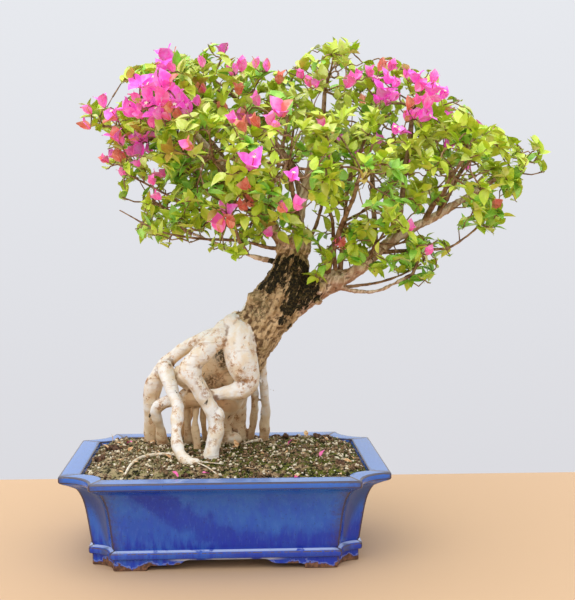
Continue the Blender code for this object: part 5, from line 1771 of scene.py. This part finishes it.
def bract_pattern(cup, flare):
    """A bract of unit length: broad and cupped, with a wavy margin and its tip turned out."""
    rows = []
    for along, half in BRACT_STATIONS:
        row = []
        for column in range(5):
            side = (column - 2) / 2
            wave = 0.05 * sin(along * 9 + side * 2) * abs(side)
            rise = cup * half * side * side - flare * along ** 2.4 + wave
            row.append((side * half, along, rise + 0.16 * along))
        rows.append(row)
    return pattern_of(sheet_from_rows("bract", rows))


LEAF_KINDS = ((0.42, 0.12, 0.22), (0.24, 0.24, -0.28), (0.62, 0.04, 0.1))
leaf_patterns = [leaf_pattern(*kind) for kind in LEAF_KINDS]
bract_patterns = [bract_pattern(0.45, 0.16), bract_pattern(0.28, 0.32)]
litter = strew("dry_litter", leaf_patterns[1], litter_frames)
litter_finish = plain_finish("dry_litter", tone(196, 142, 92), tone(236, 200, 152), 0.004, 0.9)
finish_piece(litter, litter_finish)
petals = strew("fallen_bracts", bract_patterns[0], petal_frames)
finish_piece(petals, plain_finish("fallen_bracts", tone(236, 70, 150), tone(248, 130, 190), 0.006, 0.7))
print("faces of a leaf:", len(leaf_patterns[0].polygons), "and of a bract:", len(bract_patterns[0].polygons))

# %% [markdown]
# Leaves stand on a shoot in a spiral, smallest and lightest at the tip. They turn their upper
# face to the light. A leaf that would poke out of the crown, or touch a limb, is left out, and
# so are most of the leaves that would hide the long bough or a bloom.

# %% Where a leaf has room
LEAF_LOW, LEAF_HIGH = (
    np.array(corner - POT_MIDDLE) + side * np.array((0.01, 0.008, 0.01))
    for corner, side in zip(cad_box, (-1, 1))
)
LEAF_CLEAR, LIMB_CLEAR = 0.0027, 0.004
LIMB_WIDTH = 0.0095
limb_points = np.array([list(point) for path in limb_paths.values() for point, radius in path])
limb_radii = np.array([radius for path in limb_paths.values() for point, radius in path])


def sight(point, behind, reach, share):
    """A place on the front plane where a share of the leaves in front is left out."""
    return (*from_the_front(point), point.y + behind, reach, share)


in_view = [sight(point, 0.004, LIMB_WIDTH, 0.85) for point, radius in limb_paths["bough_right"][4:]]
for path in extra_paths:
    in_view += [sight(point, 0.004, LIMB_WIDTH * 0.8, 0.62) for point, radius in path[4:-6]]
for point, colour, axis, size in blooms:
    in_view.append(sight(point + axis * size * 0.5, 0.02, size * 0.5, 0.9))
in_view = np.array(in_view)


def hides_a_sight(place):
    """Whether a leaf here hides a limb or a bloom that the photograph shows; a few of them may."""
    x, z = from_the_front(place)
    near = (in_view[:, 0] - x) ** 2 + (in_view[:, 1] - z) ** 2 < in_view[:, 3] ** 2
    shares = in_view[near & (in_view[:, 2] > place.y), 4]
    return len(shares) > 0 and chance.random() < shares.max()


def leaf_fits(root, tip, lone):
    """Whether a leaf keeps to the crown and clear of the limbs."""
    middle = root.lerp(tip, 0.5)
    if not lone and (not in_crown(root.lerp(tip, 0.85), 1.3) or not in_crown(middle, 1.25)):
        return False
    seen = np.linspace(from_the_front(root), from_the_front(tip), 5)
    if opening_gap(seen[:, 0], seen[:, 1]) < LEAF_CLEAR:
        return False
    if hides_a_sight(middle) or hides_a_sight(root.lerp(tip, 0.9)):
        return False
    if (np.array(tip) < LEAF_LOW).any() or (np.array(tip) > LEAF_HIGH).any():
        return False
    return bool((distances(limb_points, root.lerp(tip, 0.6)) > limb_radii + LIMB_CLEAR).all())


print("places kept in view:", len(in_view))

# %% [markdown]
# The leaves of a shoot share one colour, and the two at its tip are a step lighter. A leafy
# shoot on the outside carries eight leaves, one deep inside three, and a bloom two.

# %% Set the leaves
LEAF_SIZE = (0.0158, 0.0238)
LEAF_STEP = 0.005
LEAF_TRIES = 2
OUTER_LEAVES, INNER_LEAVES, BLOOM_LEAVES = 8, 3, 2
LIGHTER = {"young": "young", "fresh": "young", "middle": "fresh", "deep": "middle", "bronze": "fresh"}
leaf_frames = {(colour, kind): [] for colour in LIGHTER for kind in range(3)}


def tone_of_shoot(end):
    """The leaf colour of a shoot, from how high and how far out it ends."""
    outward = crown_share(end)
    # Higher and further out means a lighter tone: this is partly painted light.
    light = (end.z - 0.42) / 0.26 * 0.55 + outward * 0.5 + chance.uniform(-0.32, 0.32)
    rare = chance.random()
    if rare < 0.2:
        return "bronze" if rare < 0.025 else "deep"
    if light > 0.92:
        return "young"
    if light > 0.58:
        return "fresh"
    return "middle" if light > 0.26 else "deep"


def set_leaf(colour, root, ahead, outward, size, lone):
    """Place one leaf, if there is room for it."""
    face = Vector((0, -0.12, 1.0)) + outward * 0.3 + random_unit() * 0.45
    if not leaf_fits(root, root + ahead.normalized() * size, lone):
        return False
    width = size * chance.uniform(0.92, 1.12)
    matrix = frame_at(POT_MIDDLE + root, ahead, face, (width, size, size))
    leaf_frames[(colour, chance.randrange(3))].append(matrix)
    return True


def set_leaves(index, end):
    """Set the leaves of one shoot, in a spiral that starts at its tip, and count them."""
    twig = twigs[shoot_twigs[index]]
    leafy, lone = end_kinds[index] == "leafy", index in lone_ends
    colour = tone_of_shoot(end)
    heading, outward = twig.heading, (end - CROWN_MIDDLE).normalized()
    rise = 0.28 + 0.4 * min(max((end.z - 0.5) / 0.15, 0.0), 1.0)
    amount = (INNER_LEAVES if crown_share(end) < 0.3 else OUTER_LEAVES) if leafy else BLOOM_LEAVES
    around = chance.uniform(0, 2 * pi)
    side = heading.orthogonal().normalized()
    length = (twig.points[-1] - twig.points[0]).length
    tip_length = max((end - twig.points[2]).length, 1e-5)
    count = 0
    for leaf in range(amount):
        back = 0.0 if leaf < 2 else (leaf - 1) * LEAF_STEP
        if back > length * 0.9:
            back = length * chance.random() * 0.9
        share = min(back / tip_length, 1.0) if leafy else 0.5 + 0.4 * leaf
        root = end.lerp(twig.points[2], share)
        angle = around + leaf * GOLDEN
        sideways = side * cos(angle) + heading.cross(side) * sin(angle)
        ahead = heading * (0.75 if leaf < 2 else 0.35) + sideways + UP * rise
        size = chance.uniform(*LEAF_SIZE) * (0.72 if leaf == 0 else 1.0)
        for attempt in range(LEAF_TRIES):
            direction = ahead + random_unit() * (0.3 + 0.6 * attempt)
            if set_leaf(LIGHTER[colour] if leaf < 2 else colour, root, direction, outward, size, lone):
                count += 1
                break
    if leafy and not count:
        twig.carried = 0
    return count


print("leaves:", sum(set_leaves(index, end) for index, end in enumerate(ends)))

# %% [markdown]
# A twig is as thick as what it carries asks for. All twigs become splines of one curve, which
# turns into a mesh in one go, and the side branches become a mesh of their own in the same way.

# %% Turn the twigs and branches into meshes
TWIG_THINNEST = 0.00072
twig_paths = []
for twig in reversed(twigs):
    if twig.parent is not None:
        twigs[twig.parent].carried += twig.carried
for twig in twigs:
    if not twig.carried:
        continue
    base = TWIG_THINNEST * (1 + twig.carried) ** 0.42
    tip = TWIG_THINNEST * (1 + max(twig.carried - 3, 0) * 0.35) ** 0.36
    step = (tip - base) / (len(twig.points) - 1)
    twig_paths.append([(point, base + step * index) for index, point in enumerate(twig.points)])
twig_mesh = sweep("twigs", twig_paths, 0)
twig_mesh.data.shade_smooth()
branch_mesh = sweep("side_branches", list(branch_paths.values()) + extra_paths, 2)
raise_relief(branch_mesh, cloud("branch knots", 0.006, 2), 0.0018)
apply_modifiers(branch_mesh)
branch_mesh.data.shade_smooth()
branch_nodes = [node for node in frame["nodes"] if node.startswith("branch_")]
young_bark = plain_finish("brown_twig_bark", tone(116, 82, 58), tone(176, 142, 110), 0.008, 0.8)
finish_piece(branch_mesh, young_bark, branch_nodes)
finish_piece(twig_mesh, young_bark)

# %% [markdown]
# Colours go by shoot: the young ones on top are yellow-green, the shaded ones and a few others are
# a fresher green, and two or three in a hundred are bronze. The lighter tones on the top and the
# outside are partly painted light, and the fresher green of the shaded ones is painted light that
# shines through the leaves. Each colour is a piece of its own.

# %% The finish of the leaves
LEAF_COLOURS = {
    "young": (tone(198, 214, 84), tone(224, 232, 138)),
    "fresh": (tone(194, 216, 54), tone(218, 232, 92)),
    "middle": (tone(182, 212, 48), tone(210, 230, 76)),
    "deep": (tone(144, 206, 68), tone(176, 226, 98)),
    "bronze": (tone(184, 152, 62), tone(210, 184, 90)),
}


def leaf_finish(name, first, second):
    """A leaf: two tones in blotches, with a gloss and a fine grain."""
    leaf = Finish(name, 0.38, 0.5)
    blotch = leaf.noise(0.012, 3.0)
    fine = leaf.noise(0.0016, 2.0)
    colour = leaf.mix(leaf.mask(blotch, 0.38, 0.62), first, second)
    leaf.bump(fine, 0.00025)
    return leaf.done(colour)


def joined(name, patterns, frames, colour):
    """All leaves or bracts of one colour as one piece."""
    rows = [(pattern, frames[(colour, kind)]) for kind, pattern in enumerate(patterns)]
    piece = join([strew("part", pattern, places) for pattern, places in rows if places])
    piece.name = name
    return piece


foliage_nodes = [node for node in frame["nodes"] if node.startswith("foliage_")]
for colour, tones in LEAF_COLOURS.items():
    leaves = joined("leaves_" + colour, leaf_patterns, leaf_frames, colour)
    finish_piece(leaves, leaf_finish("leaf_" + colour, *tones), foliage_nodes)

# %% [markdown]
# Bracts grow in threes round three thin flower tubes, whose cream stars open between them. Fresh
# ones are magenta, and they fade to pink and salmon.

# %% Set the bracts and their flower tubes
BRACT_TONES = ("magenta", "pink", "salmon")
BRACT_OPEN = {"magenta": (0.32, 0.85), "pink": (0.18, 0.5), "salmon": (0.18, 0.5)}
OTHER_BLOOM_SIZE = (0.016, 0.025)
STAR_SIZE = (0.0034, 0.0034, 0.002)
bract_frames = {(colour, kind): [] for colour in BRACT_TONES for kind in range(2)}
tube_paths = []
star_frames = []
for index, kind in enumerate(end_kinds):
    if kind == "leafy":
        continue
    end = ends[index]
    axis = blooms[index][2] if index < len(blooms) else bloom_axis(end, 0.0)
    side = axis.orthogonal().normalized()
    open_angle = chance.uniform(*BRACT_OPEN[kind])
    start = chance.uniform(0, 2 * pi)
    size = blooms[index][3] if index < len(blooms) else chance.uniform(*OTHER_BLOOM_SIZE)
    place = np.array(end)
    if max((LEAF_LOW - place)[:2].max(), (place - LEAF_HIGH).max()) > -size * 0.6:
        continue
    for bract in range(3):
        angle = start + bract * 2 * pi / 3
        sideways = side * cos(angle) + axis.cross(side) * sin(angle)
        ahead = axis * cos(open_angle) + sideways * sin(open_angle)
        face = axis * sin(open_angle) - sideways * cos(open_angle)
        length = size * chance.uniform(0.85, 1.08)
        tint = kind if chance.random() < 0.8 else chance.choice(BRACT_TONES)
        matrix = frame_at(POT_MIDDLE + end, ahead, face, (size, length, size))
        bract_frames[(tint, chance.randrange(2))].append(matrix)
        if kind == "magenta" and chance.random() < 0.4:
            star_up = axis + sideways * 0.35
            top = end + star_up.normalized() * size * 0.62
            tube_paths.append([(end, 0.0006), (end.lerp(top, 0.6), 0.0009), (top, 0.0008)])
            star_frames.append(frame_at(POT_MIDDLE + top, side, star_up, STAR_SIZE))
for colour in BRACT_TONES:
    print(colour, "bracts:", sum(len(bract_frames[(colour, kind)]) for kind in range(2)))

# %% [markdown]
# A bract is as thin as paper, and the light behind it shows through. A very small glow of its own
# colour stands for that light. Its tones run in soft blotches with fine veins.

# %% The finish of the bracts
BRACT_COLOURS = {
    "magenta": (tone(254, 108, 220), tone(255, 164, 242)),
    "pink": (tone(252, 116, 198), tone(255, 174, 226)),
    "salmon": (tone(224, 124, 106), tone(242, 178, 156)),
}
BRACT_GLOW = 0.12


def bract_finish(name, first, second):
    """A bract: two tones in blotches, fine veins and a little glow."""
    bract = Finish(name, 0.62, 0.25)
    bract.shader.inputs["Emission Color"].default_value = first
    bract.shader.inputs["Emission Strength"].default_value = BRACT_GLOW
    blotch = bract.noise(0.01, 3.0)
    veins = bract.noise(0.0022, 3.0)
    colour = bract.mix(bract.mask(blotch, 0.36, 0.64), first, second)
    bract.bump(veins, 0.0004)
    return bract.done(colour)


for colour, tones in BRACT_COLOURS.items():
    bracts = joined("bracts_" + colour, bract_patterns, bract_frames, colour)
    finish_piece(bracts, bract_finish("bract_" + colour, *tones))
tubes = sweep("flower_tubes", tube_paths, 0)
finish_piece(tubes, plain_finish("flower_tube", tone(196, 70, 120), tone(224, 130, 150), 0.004, 0.6))
bpy.ops.mesh.primitive_circle_add(vertices=10, radius=1.0, fill_type="TRIFAN")
star = bpy.context.active_object
for number, vert in enumerate(star.data.vertices):
    reach = 1.0 if number % 2 else 0.45
    vert.co = Vector((vert.co.x * reach, vert.co.y * reach, 0.4 * vert.co.length))
stars = strew("flower_stars", pattern_of(star), star_frames)
finish_piece(stars, plain_finish("flower_star", tone(240, 232, 190), tone(250, 246, 224), 0.002, 0.6))

# %% [markdown]
# ## The studio
#
# The object stands on a plain pale floor in soft light from above and in front. The sky is a
# little brighter overhead, which gives the tops of the leaves their light.

# %% Floor and sky
bpy.ops.mesh.primitive_plane_add(size=1.0)
floor = bpy.context.active_object
floor.name = "floor"
FLOOR_BACK, FLOOR_FRONT, FLOOR_HALF = 0.38, -2.4, 2.2
for vert, (x, y) in zip(floor.data.vertices, ((-1, 0), (1, 0), (-1, 1), (1, 1))):
    vert.co = at(x * FLOOR_HALF, FLOOR_FRONT + (FLOOR_BACK - FLOOR_FRONT) * y, -0.0005)
FLOOR_TONE = tone(208, 174, 138)
floor.data.materials.append(plain_finish("pale_floor", FLOOR_TONE, FLOOR_TONE, 0.3, 0.9, 0.0))
world = bpy.data.worlds.new("studio")
bpy.context.scene.world = world
world.use_nodes = True
sky = world.node_tree
direction = add_node(sky, "ShaderNodeTexCoord", "Generated")
height = add_node(sky, "ShaderNodeSeparateXYZ", 2, {0: direction})


def by_height(low, high, first, last):
    """A value of the sky that goes from first to last between two heights."""
    inputs = {"Value": height, "From Min": low, "From Max": high, "To Min": first, "To Max": last}
    return add_node(sky, "ShaderNodeMapRange", "Result", inputs)


inputs = {0: by_height(-0.25, 0.2, 0.0, 1.0), 6: tone(219, 219, 224), 7: tone(231, 233, 238)}
backdrop = sky.nodes["Background"].inputs
feed(sky, backdrop["Color"], add_node(sky, "ShaderNodeMix", 2, inputs, data_type="RGBA"))
feed(sky, backdrop["Strength"], by_height(0.35, 0.95, 1.0, 2.2))
print("nodes of the sky:", len(sky.nodes))

# %% [markdown]
# One large lamp from the upper left gives the soft key light, and a weaker one above lifts the
# top of the crown. The camera repeats the photograph's view: its eye is level with the lower part
# of the crown and looks down a little. Its place was found by fitting it to the pot's corners.

# %% Lamps and camera
LAMPS = (("key", (-1.0, -1.5, 2.0), 1.6, 17.5), ("top", (0.3, 0.2, 2.2), 1.8, 3.0))
LAMP_TARGET = at(0.1, 0.0, 0.35)
for name, place, size, energy in LAMPS:
    bpy.ops.object.light_add(type="AREA", location=at(*place))
    lamp = bpy.context.active_object
    lamp.name = name
    lamp.data.size = size
    lamp.data.energy = energy
    lamp.rotation_euler = (LAMP_TARGET - lamp.location).to_track_quat("-Z", "Y").to_euler()
CAMERA_DOWN, CAMERA_ASIDE = 4.089, 3.185
LENS = 62.65
turn = (radians(90 - CAMERA_DOWN), 0, radians(-CAMERA_ASIDE))
bpy.ops.object.camera_add(location=at(*EYE), rotation=turn)
camera = bpy.context.active_object
camera.data.lens = LENS
camera.data.sensor_width = 36.0
bpy.context.scene.camera = camera
bpy.context.scene.view_settings.view_transform = "Standard"
print("camera at", [round(value, 3) for value in camera.location])

# %% [markdown]
# The leaves and the bracts were kept inside the box of the solids, measured at the start, with a
# small margin.
